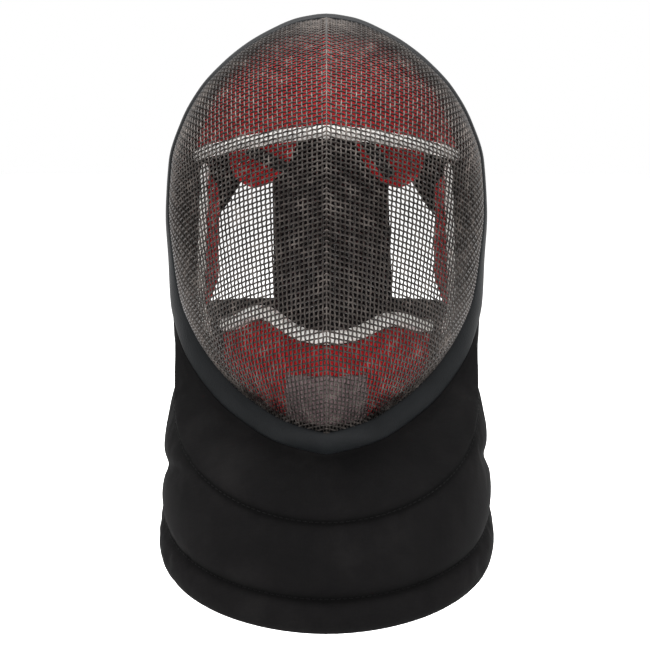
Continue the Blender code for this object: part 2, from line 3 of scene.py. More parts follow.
import bpy
import numpy as np
from mathutils import Vector
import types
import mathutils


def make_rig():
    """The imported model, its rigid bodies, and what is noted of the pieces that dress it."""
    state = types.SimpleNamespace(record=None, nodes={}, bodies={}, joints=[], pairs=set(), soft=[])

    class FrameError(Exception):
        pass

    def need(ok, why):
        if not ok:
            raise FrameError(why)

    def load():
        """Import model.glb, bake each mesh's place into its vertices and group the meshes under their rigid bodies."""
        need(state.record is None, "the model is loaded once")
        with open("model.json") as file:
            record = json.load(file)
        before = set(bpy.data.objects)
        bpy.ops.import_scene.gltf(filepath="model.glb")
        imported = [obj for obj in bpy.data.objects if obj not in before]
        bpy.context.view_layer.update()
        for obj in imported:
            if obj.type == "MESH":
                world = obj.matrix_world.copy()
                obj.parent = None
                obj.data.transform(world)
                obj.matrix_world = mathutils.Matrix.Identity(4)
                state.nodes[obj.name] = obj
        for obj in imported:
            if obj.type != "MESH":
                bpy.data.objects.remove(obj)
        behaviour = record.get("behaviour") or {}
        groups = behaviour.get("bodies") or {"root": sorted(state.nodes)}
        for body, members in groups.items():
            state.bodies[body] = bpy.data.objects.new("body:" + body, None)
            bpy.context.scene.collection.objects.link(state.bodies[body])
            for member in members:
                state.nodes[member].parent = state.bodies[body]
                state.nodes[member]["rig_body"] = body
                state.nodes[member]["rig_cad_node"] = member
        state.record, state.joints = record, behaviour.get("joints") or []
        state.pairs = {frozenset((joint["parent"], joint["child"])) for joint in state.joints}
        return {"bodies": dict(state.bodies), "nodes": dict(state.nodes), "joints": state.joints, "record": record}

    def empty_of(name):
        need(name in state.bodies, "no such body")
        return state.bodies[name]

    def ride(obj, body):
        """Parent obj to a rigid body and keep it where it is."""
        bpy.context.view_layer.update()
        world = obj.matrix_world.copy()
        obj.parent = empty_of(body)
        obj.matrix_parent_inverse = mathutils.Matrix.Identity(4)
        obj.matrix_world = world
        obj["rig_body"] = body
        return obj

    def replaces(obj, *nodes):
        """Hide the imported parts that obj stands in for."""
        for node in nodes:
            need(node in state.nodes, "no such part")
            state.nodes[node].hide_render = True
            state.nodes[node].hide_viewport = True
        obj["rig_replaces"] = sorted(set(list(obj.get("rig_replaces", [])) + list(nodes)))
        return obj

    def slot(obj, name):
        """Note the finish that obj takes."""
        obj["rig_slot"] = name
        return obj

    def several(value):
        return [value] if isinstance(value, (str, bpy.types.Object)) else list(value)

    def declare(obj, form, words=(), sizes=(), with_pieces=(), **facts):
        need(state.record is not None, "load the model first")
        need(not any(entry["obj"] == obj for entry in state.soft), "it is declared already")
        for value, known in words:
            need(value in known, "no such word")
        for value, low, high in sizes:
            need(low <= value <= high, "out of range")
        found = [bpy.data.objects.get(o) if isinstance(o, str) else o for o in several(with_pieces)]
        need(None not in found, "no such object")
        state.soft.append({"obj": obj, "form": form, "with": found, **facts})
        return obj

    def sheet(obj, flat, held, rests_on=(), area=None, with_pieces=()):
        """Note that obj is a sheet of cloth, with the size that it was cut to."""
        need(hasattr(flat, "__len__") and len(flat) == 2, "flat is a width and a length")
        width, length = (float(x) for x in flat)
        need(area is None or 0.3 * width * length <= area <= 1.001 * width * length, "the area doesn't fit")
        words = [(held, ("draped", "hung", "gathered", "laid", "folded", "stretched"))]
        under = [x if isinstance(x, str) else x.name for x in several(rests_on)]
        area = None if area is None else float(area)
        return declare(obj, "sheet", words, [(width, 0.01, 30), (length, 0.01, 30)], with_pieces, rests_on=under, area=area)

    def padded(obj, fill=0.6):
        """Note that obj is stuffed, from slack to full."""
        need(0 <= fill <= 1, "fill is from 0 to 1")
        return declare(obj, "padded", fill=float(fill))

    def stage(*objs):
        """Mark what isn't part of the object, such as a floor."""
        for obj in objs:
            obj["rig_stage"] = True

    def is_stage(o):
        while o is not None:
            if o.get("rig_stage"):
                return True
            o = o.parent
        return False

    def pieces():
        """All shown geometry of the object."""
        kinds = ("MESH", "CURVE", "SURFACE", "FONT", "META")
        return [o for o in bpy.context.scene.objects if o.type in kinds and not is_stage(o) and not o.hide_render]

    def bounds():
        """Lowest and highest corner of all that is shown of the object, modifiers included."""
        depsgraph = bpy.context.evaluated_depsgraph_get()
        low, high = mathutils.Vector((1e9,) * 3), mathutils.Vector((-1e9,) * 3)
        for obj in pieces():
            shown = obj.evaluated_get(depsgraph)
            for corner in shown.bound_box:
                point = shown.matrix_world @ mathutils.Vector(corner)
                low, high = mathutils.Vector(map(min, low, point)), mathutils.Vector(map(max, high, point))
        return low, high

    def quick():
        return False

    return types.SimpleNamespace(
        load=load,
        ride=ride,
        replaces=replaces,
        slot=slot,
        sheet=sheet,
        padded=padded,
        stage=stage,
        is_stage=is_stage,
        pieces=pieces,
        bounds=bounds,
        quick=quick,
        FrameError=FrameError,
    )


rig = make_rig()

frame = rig.load()
cad_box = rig.bounds()


# Wire face. Steel wires about a millimetre thick, woven one over one and painted black, then pressed
# over a form with a keel down the middle. The wires that cross the keel run down towards the back.
MESH_WIDTH = 0.1985
MESH_HEIGHT = 0.254
MESH_DEPTH = 0.203
SECTION_POWER = 2.12
WIRE_DIAMETER = 0.0011
WIRE_PITCH = 0.0033
WIRE_WAVE = 0.00045
WIRE_SIDES = 7
WIRE_TUCK = 0.006
FIRST_ROW_RISE = 0.0025
LAST_ROW_DROP = 0.0001
SEAT = np.array([0.0, 0.68966 * MESH_DEPTH, 0.66929 * MESH_HEIGHT])
MESH_COLUMNS = ("up", "ridge", "side", "half", "edge")
MESH_LEVELS = np.array([
    (-0.228, 0.156, 0.488, 0.403, 0.039),
    (-0.173, 0.100, 0.473, 0.443, 0.281),
    (-0.118, 0.054, 0.483, 0.574, 0.404),
    (-0.059, 0.013, 0.542, 0.715, 0.522),
    (0.000, 0.000, 0.626, 0.826, 0.606),
    (0.079, 0.015, 0.714, 0.922, 0.685),
    (0.177, 0.047, 0.744, 0.966, 0.729),
    (0.295, 0.105, 0.749, 0.994, 0.754),
    (0.413, 0.182, 0.773, 0.978, 0.778),
    (0.512, 0.274, 0.805, 0.901, 0.815),
    (0.591, 0.379, 0.845, 0.788, 0.855),
    (0.654, 0.493, 0.882, 0.640, 0.892),
    (0.701, 0.611, 0.919, 0.487, 0.926),
    (0.736, 0.741, 0.948, 0.327, 0.958),
    (0.758, 0.877, 0.975, 0.193, 0.980),
    (0.772, 0.995, 1.000, 0.010, 0.984),
])
# At shares of the face's height: how many degrees the wires that cross the keel run down.
WIRE_TILTS = np.array([(-0.228, 15.0), (0.0, 19.5), (0.118, 22.0), (0.295, 27.0), (0.772, 28.0)])
MESH_BOTTOM = MESH_LEVELS[0, 0] * MESH_HEIGHT
MESH_TOP = MESH_LEVELS[-1, 0] * MESH_HEIGHT


def smooth(at, known, values):
    """Values of a smooth curve through known points, with no overshoot between them."""
    steps = np.diff(known)
    slopes = np.diff(values) / steps
    tangents = np.zeros(len(values))
    tangents[0], tangents[-1] = slopes[0], slopes[-1]
    before, after = slopes[:-1], slopes[1:]
    turning = before * after <= 0
    tangents[1:-1] = np.where(turning, 0.0, 2 * before * after / np.where(turning, 1.0, before + after))
    i = np.clip(np.searchsorted(known, at) - 1, 0, len(known) - 2)
    t = (at - known[i]) / steps[i]
    start = (1 + 2 * t) * (1 - t) ** 2 * values[i] + t * (1 - t) ** 2 * steps[i] * tangents[i]
    return start + t * t * (3 - 2 * t) * values[i + 1] + t * t * (t - 1) * steps[i] * tangents[i + 1]


def mesh_level(name, up):
    """A column of the mesh table at some heights, in metres."""
    scale = {"ridge": MESH_DEPTH, "side": MESH_DEPTH, "edge": MESH_DEPTH, "half": MESH_WIDTH / 2}
    column = MESH_LEVELS[:, MESH_COLUMNS.index(name)] * scale[name]
    return smooth(np.asarray(up, float), MESH_LEVELS[:, 0] * MESH_HEIGHT, column)


def shell_across(back, up):
    """Half-width of the face's outer surface at points of its side view."""
    ridge = mesh_level("ridge", up)
    run = np.maximum(mesh_level("side", up) - ridge, 1e-4)
    share = np.clip((back - ridge) / run, 0.0, 2.0)
    return mesh_level("half", up) * (1 - np.abs(1 - share) ** SECTION_POWER)


def shell_normal(back, up):
    """Unit normals of the right half of the face's outer surface."""
    step = 1e-4
    across = shell_across(back, up)
    slopes = (shell_across(back + step, up) - across) / step, (shell_across(back, up + step) - across) / step
    normal = np.stack([np.ones_like(across), -slopes[0], -slopes[1]], axis=-1)
    return normal / np.linalg.norm(normal, axis=-1, keepdims=True)


def along(line):
    """Distance from a line's start to each of its points."""
    return np.concatenate([[0], np.cumsum(np.linalg.norm(np.diff(line, axis=0), axis=1))])


def at_lengths(line, lengths):
    """Points of a line at some distances from its start."""
    known = along(line)
    return np.stack([np.interp(lengths, known, line[:, k]) for k in range(line.shape[1])], axis=1)


def evenly(line, count):
    return at_lengths(line, np.linspace(0, along(line)[-1], count))


def row_line(start_up, tilt, tuck):
    """Close-set points of one half row of the face, from the keel to behind the edge band."""
    start_back = float(mesh_level("ridge", start_up))
    slope = np.array([np.cos(np.radians(tilt)), -np.sin(np.radians(tilt))])
    low, high = 0.0, MESH_DEPTH
    for _ in range(40):
        middle = (low + high) / 2
        back, up = start_back + middle * slope[0], start_up + middle * slope[1]
        low, high = (low, middle) if back > mesh_level("edge", up + tuck) + tuck else (middle, high)
    reach = np.linspace(0.0, high, 160)
    back, up = start_back + reach * slope[0], start_up + reach * slope[1]
    return np.stack([shell_across(back, up), back, up], axis=1)


def ridge_levels(low, high, count):
    """Heights between two levels of the keel, evenly spaced along it."""
    ups = np.linspace(low, high, 400)
    length = along(np.stack([ups, mesh_level("ridge", ups)], axis=1))
    return np.interp(np.linspace(0, length[-1], count), length, ups)


def object_of(name, points, faces, edges=()):
    """A mesh object at the origin from points given from the nose point of the face."""
    mesh = bpy.data.meshes.new(name)
    corners = [tuple(p) for p in np.asarray(points) - SEAT]
    mesh.from_pydata(corners, list(edges), [tuple(map(int, face)) for face in faces])
    mesh.shade_smooth()
    made = bpy.data.objects.new(name, mesh)
    bpy.context.scene.collection.objects.link(made)
    return made


def wire_follower():
    """A node tree that lays a round wire along each path of a mesh of edges."""
    tree = bpy.data.node_groups.new("wire_along_paths", "GeometryNodeTree")
    face = tree.interface
    face.new_socket("Geometry", in_out="INPUT", socket_type="NodeSocketGeometry")
    for name, kind in (("Wire diameter", "Float"), ("Sides", "Int"), ("Finish", "Material")):
        face.new_socket(name, in_out="INPUT", socket_type="NodeSocket" + kind)
    face.new_socket("Geometry", in_out="OUTPUT", socket_type="NodeSocketGeometry")
    node, link = tree.nodes.new, tree.links.new
    start, end = node("NodeGroupInput"), node("NodeGroupOutput")
    path, tube = node("GeometryNodeMeshToCurve"), node("GeometryNodeCurveToMesh")
    ring, half = node("GeometryNodeCurvePrimitiveCircle"), node("ShaderNodeMath")
    shade, realize = node("GeometryNodeSetShadeSmooth"), node("GeometryNodeRealizeInstances")
    finish = node("GeometryNodeSetMaterial")
    half.operation = "MULTIPLY"
    half.inputs[1].default_value = 0.5
    link(start.outputs["Geometry"], path.inputs["Mesh"])
    link(start.outputs["Wire diameter"], half.inputs[0])
    link(half.outputs[0], ring.inputs["Radius"])
    link(start.outputs["Sides"], ring.inputs["Resolution"])
    link(path.outputs["Curve"], tube.inputs["Curve"])
    link(ring.outputs["Curve"], tube.inputs["Profile Curve"])
    tube.inputs["Fill Caps"].default_value = True
    link(tube.outputs["Mesh"], shade.inputs["Geometry"])
    link(shade.outputs["Geometry"], realize.inputs["Geometry"])
    link(realize.outputs["Geometry"], finish.inputs["Geometry"])
    link(start.outputs["Finish"], finish.inputs["Material"])
    link(finish.outputs["Geometry"], end.inputs["Geometry"])
    return tree


def settled(piece):
    """Keeps what a piece's modifiers make as its plain mesh."""
    made = bpy.data.meshes.new_from_object(piece.evaluated_get(bpy.context.evaluated_depsgraph_get()))
    piece.modifiers.clear()
    piece.data = made


def worked_out(piece, tree, **sizes):
    """Runs a node tree on a piece with the named sizes, and keeps the result as its plain mesh."""
    modifier = piece.modifiers.new(tree.name, "NODES")
    modifier.node_group = tree
    for item in tree.interface.items_tree:
        key = item.name.replace(" ", "_").lower()
        if item.in_out == "INPUT" and key in sizes:
            modifier[item.identifier] = sizes[key]
    settled(piece)


def new_material(name, roughness, metallic=0.0):
    """A material, its shader, and a maker of nodes that takes settings and linked inputs."""
    made = bpy.data.materials.new(name)
    made.use_nodes = True
    shader = made.node_tree.nodes["Principled BSDF"]
    shader.inputs["Roughness"].default_value = roughness
    shader.inputs["Metallic"].default_value = metallic

    def add(kind, links=None, **settings):
        node = made.node_tree.nodes.new("ShaderNode" + kind)
        for key, value in settings.items():
            if key in node.inputs:
                node.inputs[key].default_value = value
            else:
                setattr(node, key, value)
        for key, source in (links or {}).items():
            made.node_tree.links.new(source, node.inputs[key])
        return node

    return made, shader, add


def colour_ramp(add, source, stops):
    ramp = add("ValToRGB", {"Fac": source})
    while len(ramp.color_ramp.elements) < len(stops):
        ramp.color_ramp.elements.new(0.5)
    for element, (place, colour) in zip(ramp.color_ramp.elements, stops):
        element.position = place
        element.color = (*colour, 1.0)
    return ramp.outputs["Color"]


def join(material, source, socket):
    material.node_tree.links.new(source, socket)


def mottled(name, roughness, metallic, scale, stops, **noise):
    """A material whose colour drifts between some shades, with its shader, node maker, place and drift."""
    made, shader, add = new_material(name, roughness, metallic)
    place = add("TexCoord").outputs["Object"]
    drift = add("TexNoise", {"Vector": place}, Scale=scale, **noise).outputs["Fac"]
    join(made, colour_ramp(add, drift, stops), shader.inputs["Base Color"])
    return made, shader, add, place, drift


wire_paint, shader, add, place, wear = mottled("black_wire_paint", 0.34, 0.9, 120.0, [
    (0.30, (0.019, 0.0160, 0.0143)), (0.55, (0.037, 0.0318, 0.0288)), (0.78, (0.090, 0.078, 0.070)),
], Detail=2.0)
gloss = add("MapRange", {"Value": wear}, **{"From Min": 0.3, "From Max": 0.7, "To Min": 0.28, "To Max": 0.5})
join(wire_paint, gloss.outputs["Result"], shader.inputs["Roughness"])

ups = np.linspace(MESH_BOTTOM, MESH_TOP, 400)
ridge_run = along(np.stack([ups, mesh_level("ridge", ups)], axis=1))[-1]
row_count = int(ridge_run / WIRE_PITCH)
row_starts = ridge_levels(MESH_BOTTOM + FIRST_ROW_RISE, MESH_TOP - LAST_ROW_DROP, row_count)
row_tilts = np.interp(row_starts, WIRE_TILTS[:, 0] * MESH_HEIGHT, WIRE_TILTS[:, 1])
places, leans = [], []
for start_up, tilt in zip(row_starts, row_tilts):
    line = row_line(start_up, tilt, WIRE_TUCK)
    count = int(along(line)[-1] / WIRE_PITCH)
    spots = at_lengths(line, np.arange(count + 1) * WIRE_PITCH)
    normal = shell_normal(spots[:, 1], spots[:, 2])
    normal[0, 0] = 0.0
    places.append(spots)
    leans.append(normal / np.linalg.norm(normal, axis=1, keepdims=True))


def wire_point(row, column, over):
    """A point of a wire where it passes over (1) or under (-1) another, on either side of the keel."""
    sign = 1 if (row + abs(column)) % 2 else -1
    point = places[row][abs(column)] - leans[row][abs(column)] * (WIRE_DIAMETER - over * sign * WIRE_WAVE)
    return point * (-1 if column < 0 else 1, 1, 1)


def wires(name, paths):
    points = np.concatenate(paths)
    firsts = np.cumsum([0] + [len(p) for p in paths])
    edges = [(k, k + 1) for a, b in zip(firsts[:-1], firsts[1:]) for k in range(a, b - 1)]
    piece = object_of(name, points, [], edges)
    worked_out(piece, wire_tree, wire_diameter=WIRE_DIAMETER, sides=WIRE_SIDES, finish=wire_paint)
    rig.slot(piece, "black_wire")
    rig.ride(piece, "root")
    return piece


wire_tree = wire_follower()
cross_paths = []
for i, spots in enumerate(places):
    cross_paths.append(np.array([wire_point(i, j, 1) for j in range(1 - len(spots), len(spots))]))
middle_row = row_count // 2
long_paths = {"left": [], "right": []}
for column in range(-max(map(len, places)) + 1, max(map(len, places))):
    reached = [i for i in range(row_count) if len(places[i]) > abs(column)]
    runs = np.split(reached, np.where(np.diff(reached) > 1)[0] + 1)
    side = "left" if column < 0 else "right"
    long_paths[side] += [np.array([wire_point(i, column, -1) for i in run]) for run in runs if len(run) > 1]
face_wires = [
    wires("wires_across_lower", cross_paths[:middle_row]),
    wires("wires_across_upper", cross_paths[middle_row:]),
    wires("wires_upright_left", long_paths["left"]),
    wires("wires_upright_right", long_paths["right"]),
]
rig.replaces(face_wires[0], "face_mesh")


# Edge band. A strip of smooth bluish-black trim, bent round the cut ends of the wires from the chin
# over the crown, and crimped to them. At the chin it stands out like a flange, and the bib hangs from it.
MESH_CLEARANCE = 0.0010
BAND_WIDTH = 0.0135
# Round the section: shares of the band's width, and millimetres outward.
BAND_SECTION = (
    (-0.20, -1.7), (-0.19, -0.8), (-0.14, -0.2), (-0.05, 0.3), (0.10, 0.8), (0.30, 1.2), (0.50, 1.35),
    (0.70, 1.2), (0.90, 0.9), (0.97, 0.7), (1.00, 0.3), (1.00, -0.5), (0.97, -0.8), (0.60, -0.9),
    (0.30, -1.4), (0.08, -2.8), (-0.10, -3.4), (-0.17, -3.1),
)
# At shares of the face's height: how far the band runs across, back and down as it leaves the border.
BAND_LIE = np.array([
    (-0.210, 0.00, 0.66, 0.86),
    (-0.187, 0.47, 0.47, 0.76),
    (-0.125, 0.55, 0.45, 0.70),
    (-0.059, 0.62, 0.50, 0.52),
    (0.047, 0.42, 0.80, 0.36),
    (0.177, 0.16, 0.97, 0.12),
    (0.354, 0.00, 1.00, 0.10),
    (0.591, 0.00, 1.00, 0.05),
    (0.772, 0.00, 1.00, -0.06),
])
HEAD_CENTRE = np.array([0.0, 0.120, 0.070])


def border_line():
    """Half of the face's visible border, from the chin to the crown."""
    ups = np.linspace(MESH_BOTTOM, MESH_TOP, 900)
    ups = ups[mesh_level("edge", ups) >= mesh_level("ridge", ups)]
    backs = mesh_level("edge", ups)
    line = np.stack([shell_across(backs, ups), backs, ups], axis=1)
    line += shell_normal(backs, ups) * MESH_CLEARANCE
    line[[0, -1], 0] = 0.0
    return line


def band_frame(count):
    """Even points of the half border, the way in which the band leaves each, and the way it faces there."""
    line = evenly(border_line(), count)
    known = BAND_LIE[:, 0] * MESH_HEIGHT
    ways = np.stack([smooth(line[:, 2], known, BAND_LIE[:, k]) for k in (1, 2, 3)], axis=1) * (1, 1, -1)
    ways /= np.linalg.norm(ways, axis=1, keepdims=True)
    facing = np.cross(np.gradient(line, axis=0), ways)
    facing *= np.sign(np.sum(facing * (line - HEAD_CENTRE), axis=1, keepdims=True))
    facing[[0, -1], 0] = 0.0
    return line, ways, facing / np.linalg.norm(facing, axis=1, keepdims=True)


def ring_of(name, sections):
    """A closed ring through half of its sections, from the middle of one end to the middle of the other."""
    sections = np.concatenate([sections, sections[-2:0:-1] * (-1, 1, 1)])
    count, sides = sections.shape[:2]
    faces = []
    for i in range(count):
        for j in range(sides):
            here, there, after = i * sides, (i + 1) % count * sides, (j + 1) % sides
            faces.append((here + j, here + after, there + after, there + j))
    return object_of(name, sections.reshape(-1, 3), faces)


band_trim, shader, add, place, _ = mottled("black_band_trim", 0.55, 0.0, 45.0, [
    (0.3, (0.0022, 0.0027, 0.0032)), (0.7, (0.0042, 0.0049, 0.0056)),
], Detail=4.0)
grain = add("TexVoronoi", {"Vector": place}, Scale=900.0).outputs["Distance"]
shader.inputs["Specular IOR Level"].default_value = 0.1
dimples = add("Bump", {"Height": grain}, Strength=0.25, Distance=0.0004)
join(band_trim, dimples.outputs["Normal"], shader.inputs["Normal"])

line, ways, facing = band_frame(150)
trim = [line + ways * BAND_WIDTH * share + facing * off / 1000 for share, off in BAND_SECTION]
edge_band = ring_of("edge_band_trim", np.stack(trim, axis=1))
edge_band.data.materials.append(band_trim)
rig.slot(edge_band, "black_band")
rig.ride(edge_band, "root")
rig.replaces(edge_band, "edge_band")


# Bib. Two layers of tough black cloth over padding, sewn through in two curved seams into three puffed
# tiers, hung from the edge band and open behind. The padding swells between seams and puckers at them.
BIB_AXIS_BACK = 0.542 * MESH_DEPTH
BIB_WIDTH = 0.198
BIB_DROP = 0.166
BIB_REAR_ANGLE = 117.0
BIB_REAR_TOP = 0.252 * MESH_HEIGHT
BIB_SEAM_WALL = 0.004
BIB_PUFF = 0.0042
BIB_PUFF_POWER = 0.55
BIB_FRONT_PUFF = 0.9
BIB_REAR_PUFF = 0.4
BIB_EDGE_GAP = 0.0009
BIB_TUCK_WALL = 0.0012
# Behind the band: shares of its width, and how far inside it.
BIB_TUCKS = ((0.6, 0.0032), (-0.4, 0.0050))
BIB_SEAM_SINK = 0.0013
BIB_GROOVE_ROWS = 0.8
# Folds: the side, the height and the angle from the front where each begins.
BIB_FOLDS = ((-1, -0.0795, 56.0), (1, -0.0745, 74.0))
BIB_FOLD_DEPTH = 0.0034
BIB_FOLD_SPREAD = 0.0042
BIB_FOLD_ONSET = 12.0
# Set-back in front, half-width and set-back behind as shares, then the heights in front, at the side and
# behind as shares of the drop, and the power of the rise to the side.
BIB_CURVES = {
    "upper_seam": (0.18, 0.945, 0.45, -0.616, -0.241, -0.030, 1.9),
    "lower_seam": (0.11, 1.000, 0.43, -0.881, -0.651, -0.380, 1.8),
    "hem": (0.07, 1.005, 0.42, -1.000, -0.789, -0.482, 1.9),
}
BIB_TIER_ROWS = (9, 15, 17)
BIB_COLUMNS = 70


def bib_curve(name, angles):
    """A seam or the hem of the bib at some angles from the front about its axis."""
    front, half, rear, front_up, side_up, rear_up, power = BIB_CURVES[name]
    turn = np.radians(angles)
    behind = BIB_AXIS_BACK * rear / -np.cos(np.radians(BIB_REAR_ANGLE))
    back = BIB_AXIS_BACK - np.where(angles < 90, BIB_AXIS_BACK * (1 - front), behind) * np.cos(turn)
    rise, past, room = side_up - front_up, np.maximum(angles - 90, 0.0), BIB_REAR_ANGLE - 90
    bend = (rear_up - side_up - rise * power * room / 90) / room**2
    up = front_up + rise * (np.minimum(angles, 90) / 90) ** power + rise * power * past / 90 + bend * past**2
    return np.stack([BIB_WIDTH / 2 * half * np.sin(turn), back, BIB_DROP * up], axis=1)


def bib_top(angles, share, inset):
    """A line on or behind the band, at a share of its width, at some angles about the bib's axis."""
    line, ways, facing = band_frame(300)
    ends = line + ways * (BAND_WIDTH * share + BIB_EDGE_GAP) - facing * inset
    keep = np.argmax(line[:, 2] > BIB_REAR_TOP)
    turn = np.maximum.accumulate(np.degrees(np.arctan2(ends[:keep, 0], BIB_AXIS_BACK - ends[:keep, 1])))
    angles = angles * min(1.0, turn[-1] / BIB_REAR_ANGLE)
    return np.stack([np.interp(angles, turn, ends[:keep, k]) for k in range(3)], axis=1)


def both_sides(half_row):
    return np.concatenate([half_row[:0:-1] * (-1, 1, 1), half_row])


def normals_of(grid):
    """Unit normals of a grid of points whose rows run from left to right and go upward."""
    normal = np.cross(np.gradient(grid, axis=1), np.gradient(grid, axis=0))
    return normal / np.maximum(np.linalg.norm(normal, axis=2, keepdims=True), 1e-12)


def walled(name, front, rear):
    """A closed piece between two grids of the same size, whose front grid's normals point outward."""
    rows, columns = front.shape[:2]
    index = np.arange(rows * columns).reshape(rows, columns)
    behind = index + rows * columns
    faces = []
    for i in range(rows - 1):
        for j in range(columns - 1):
            faces.append((index[i, j], index[i, j + 1], index[i + 1, j + 1], index[i + 1, j]))
            faces.append((behind[i, j], behind[i + 1, j], behind[i + 1, j + 1], behind[i, j + 1]))
    rim = np.concatenate([index[0], index[1:, -1], index[-1, -2::-1], index[-2:0:-1, 0]])
    for a, b in zip(rim, np.roll(rim, -1)):
        faces.append((b, a, a + rows * columns, b + rows * columns))
    return object_of(name, np.concatenate([front.reshape(-1, 3), rear.reshape(-1, 3)]), faces)


def swell(piece, sewn, cap, pressure, slack):
    """Blows a padded piece up between its sewn points with Blender's cloth, no point going past the cap."""
    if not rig.quick():
        group = piece.vertex_groups.new(name="sewn")
        group.add([int(k) for k in sewn], 1.0, "REPLACE")
        cloth = piece.modifiers.new("swell", "CLOTH")
        cloth.settings.quality = 4
        cloth.settings.mass = 0.15
        cloth.settings.tension_stiffness = cloth.settings.compression_stiffness = 25.0
        cloth.settings.shear_stiffness = 8.0
        cloth.settings.bending_stiffness = 0.4
        cloth.settings.use_pressure = True
        cloth.settings.uniform_pressure_force = pressure
        cloth.settings.shrink_min = -slack
        cloth.settings.vertex_group_mass = "sewn"
        cloth.settings.effector_weights.gravity = 0.0
        cloth.point_cache.frame_start, cloth.point_cache.frame_end = 1, 20
        for step in range(1, 21):
            bpy.context.scene.frame_set(step)
        blown = piece.evaluated_get(bpy.context.evaluated_depsgraph_get()).data
        start = np.array([v.co for v in piece.data.vertices])
        moved = np.array([v.co for v in blown.vertices]) - start
        length = np.linalg.norm(moved, axis=1, keepdims=True)
        moved *= np.minimum(1.0, cap / np.maximum(length, 1e-9))
        piece.modifiers.clear()
        bpy.context.scene.frame_set(1)
        piece.data.vertices.foreach_set("co", (start + moved).ravel())
        piece.data.update()
        piece.vertex_groups.clear()


def smoother(piece):
    """One level of subdivision, kept as the piece's plain mesh."""
    modifier = piece.modifiers.new("smoother", "SUBSURF")
    modifier.levels = modifier.render_levels = 1
    settled(piece)


def cloth_weave(add, place, scale, depth):
    """Bump of a plain weave, in threads a metre, from a fine wave each way."""
    both = add("Math", operation="MULTIPLY")
    for way, socket in zip("XZ", both.inputs):
        wave = add("TexWave", {"Vector": place}, Scale=scale, Distortion=1.5, Detail=1.0, bands_direction=way)
        both.id_data.links.new(wave.outputs["Fac"], socket)
    return add("Bump", {"Height": both.outputs[0]}, Strength=0.5, Distance=depth).outputs["Normal"]


black_cloth, shader, add = new_material("black_bib_cloth", 0.88)
place = add("TexCoord").outputs["Object"]
faded = add("TexNoise", {"Vector": place}, Scale=28.0, Detail=6.0, Roughness=0.6).outputs["Fac"]
cloth_colour = colour_ramp(add, faded, [
    (0.30, (0.0016, 0.0015, 0.0016)), (0.55, (0.0026, 0.0024, 0.0025)), (0.78, (0.0048, 0.0045, 0.0045)),
])
# Painted shade: along the two seams the cloth's colour is mixed towards near black, standing in for the shade that
# falls in the seam grooves.
shadowed = add("MixRGB", blend_type="MIX")
shadowed.inputs["Color2"].default_value = (0.0004, 0.0004, 0.0004, 1.0)
join(black_cloth, add("Attribute", attribute_name="seam_sink_and_shade").outputs["Fac"], shadowed.inputs["Fac"])
join(black_cloth, cloth_colour, shadowed.inputs["Color1"])
join(black_cloth, shadowed.outputs["Color"], shader.inputs["Base Color"])
join(black_cloth, cloth_weave(add, place, 420.0, 0.0003), shader.inputs["Normal"])
shader.inputs["Specular IOR Level"].default_value = 0.06

angles = np.linspace(0, BIB_REAR_ANGLE, BIB_COLUMNS)
curves = [bib_curve(name, angles) for name in ("hem", "lower_seam", "upper_seam")]
curves.append(bib_top(angles, 1.0, 0.0))
bib_rows, puffs, sewn_rows = [curves[0]], [0.0], [0]
for tier, steps in enumerate(BIB_TIER_ROWS):
    for share in np.linspace(0, 1, steps + 1)[1:]:
        bib_rows.append(curves[tier] * (1 - share) + curves[tier + 1] * share)
        puffs.append(np.sin(np.pi * share) ** BIB_PUFF_POWER if share < 1 else 0.0)
    sewn_rows.append(len(bib_rows) - 1)
for share, inset in BIB_TUCKS:
    bib_rows.append(bib_top(angles, share, inset))
    puffs.append(0.0)
    sewn_rows.append(len(bib_rows) - 1)
bib_grid = np.array([both_sides(row) for row in bib_rows])
bib_normal = normals_of(bib_grid)
puff = BIB_PUFF * np.array(puffs)[:, None, None]
from_seams = np.arange(len(bib_rows))[:, None] - np.array(sewn_rows[1:3])
# These weights both sink the cloth at the seams and, kept as a point attribute, paint shade into its colour there.
seam_sink_and_shade = np.exp(-((from_seams / BIB_GROOVE_ROWS) ** 2)).max(axis=1)[:, None, None]
front = bib_grid + bib_normal * (puff * BIB_FRONT_PUFF - BIB_SEAM_SINK * seam_sink_and_shade)
all_angles = np.concatenate([-angles[:0:-1], angles])
for side, fold_up, start in BIB_FOLDS:
    reach = np.clip((all_angles * side - start) / BIB_FOLD_ONSET, 0, 1)
    dent = reach * np.exp(-(((bib_grid[..., 2] - fold_up) / BIB_FOLD_SPREAD) ** 2))
    front -= bib_normal * BIB_FOLD_DEPTH * dent[..., None]
wall = np.where(np.arange(len(bib_rows)) >= sewn_rows[3], BIB_TUCK_WALL, BIB_SEAM_WALL)[:, None, None]
rear = bib_grid - bib_normal * (wall + puff * BIB_REAR_PUFF)
bib = walled("bib_cloth", front, rear)
columns = bib_grid.shape[1]
sewn = [row * columns + k for row in sewn_rows for k in range(columns)]
sewn += [row * columns + k for row in range(len(bib_rows)) for k in (0, columns - 1)]
sewn += [k + len(bib_rows) * columns for k in sewn]
# Weights of the painted seam shade, one for each point of both grids.
depth = np.tile(np.broadcast_to(seam_sink_and_shade[..., 0], bib_grid.shape[:2]).ravel(), 2)
bib.data.attributes.new("seam_sink_and_shade", "FLOAT", "POINT").data.foreach_set("value", depth.astype(np.float32))
swell(bib, sewn, cap=0.005, pressure=4.0, slack=0.008)
smoother(bib)
bib.data.materials.append(black_cloth)
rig.slot(bib, "black_cloth")
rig.padded(bib, fill=0.6)
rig.ride(bib, "root")
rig.replaces(bib, "bib")


# Stitches. Black thread sews the bib through along its two seams, nearly three stitches to the
# centimetre, each one a short strand that lies in the groove of its seam.
STITCH_LENGTH = 0.0026
STITCH_SPACING = 0.0036
STITCH_THICKNESS = 0.0006
STITCH_RISE = 0.0001


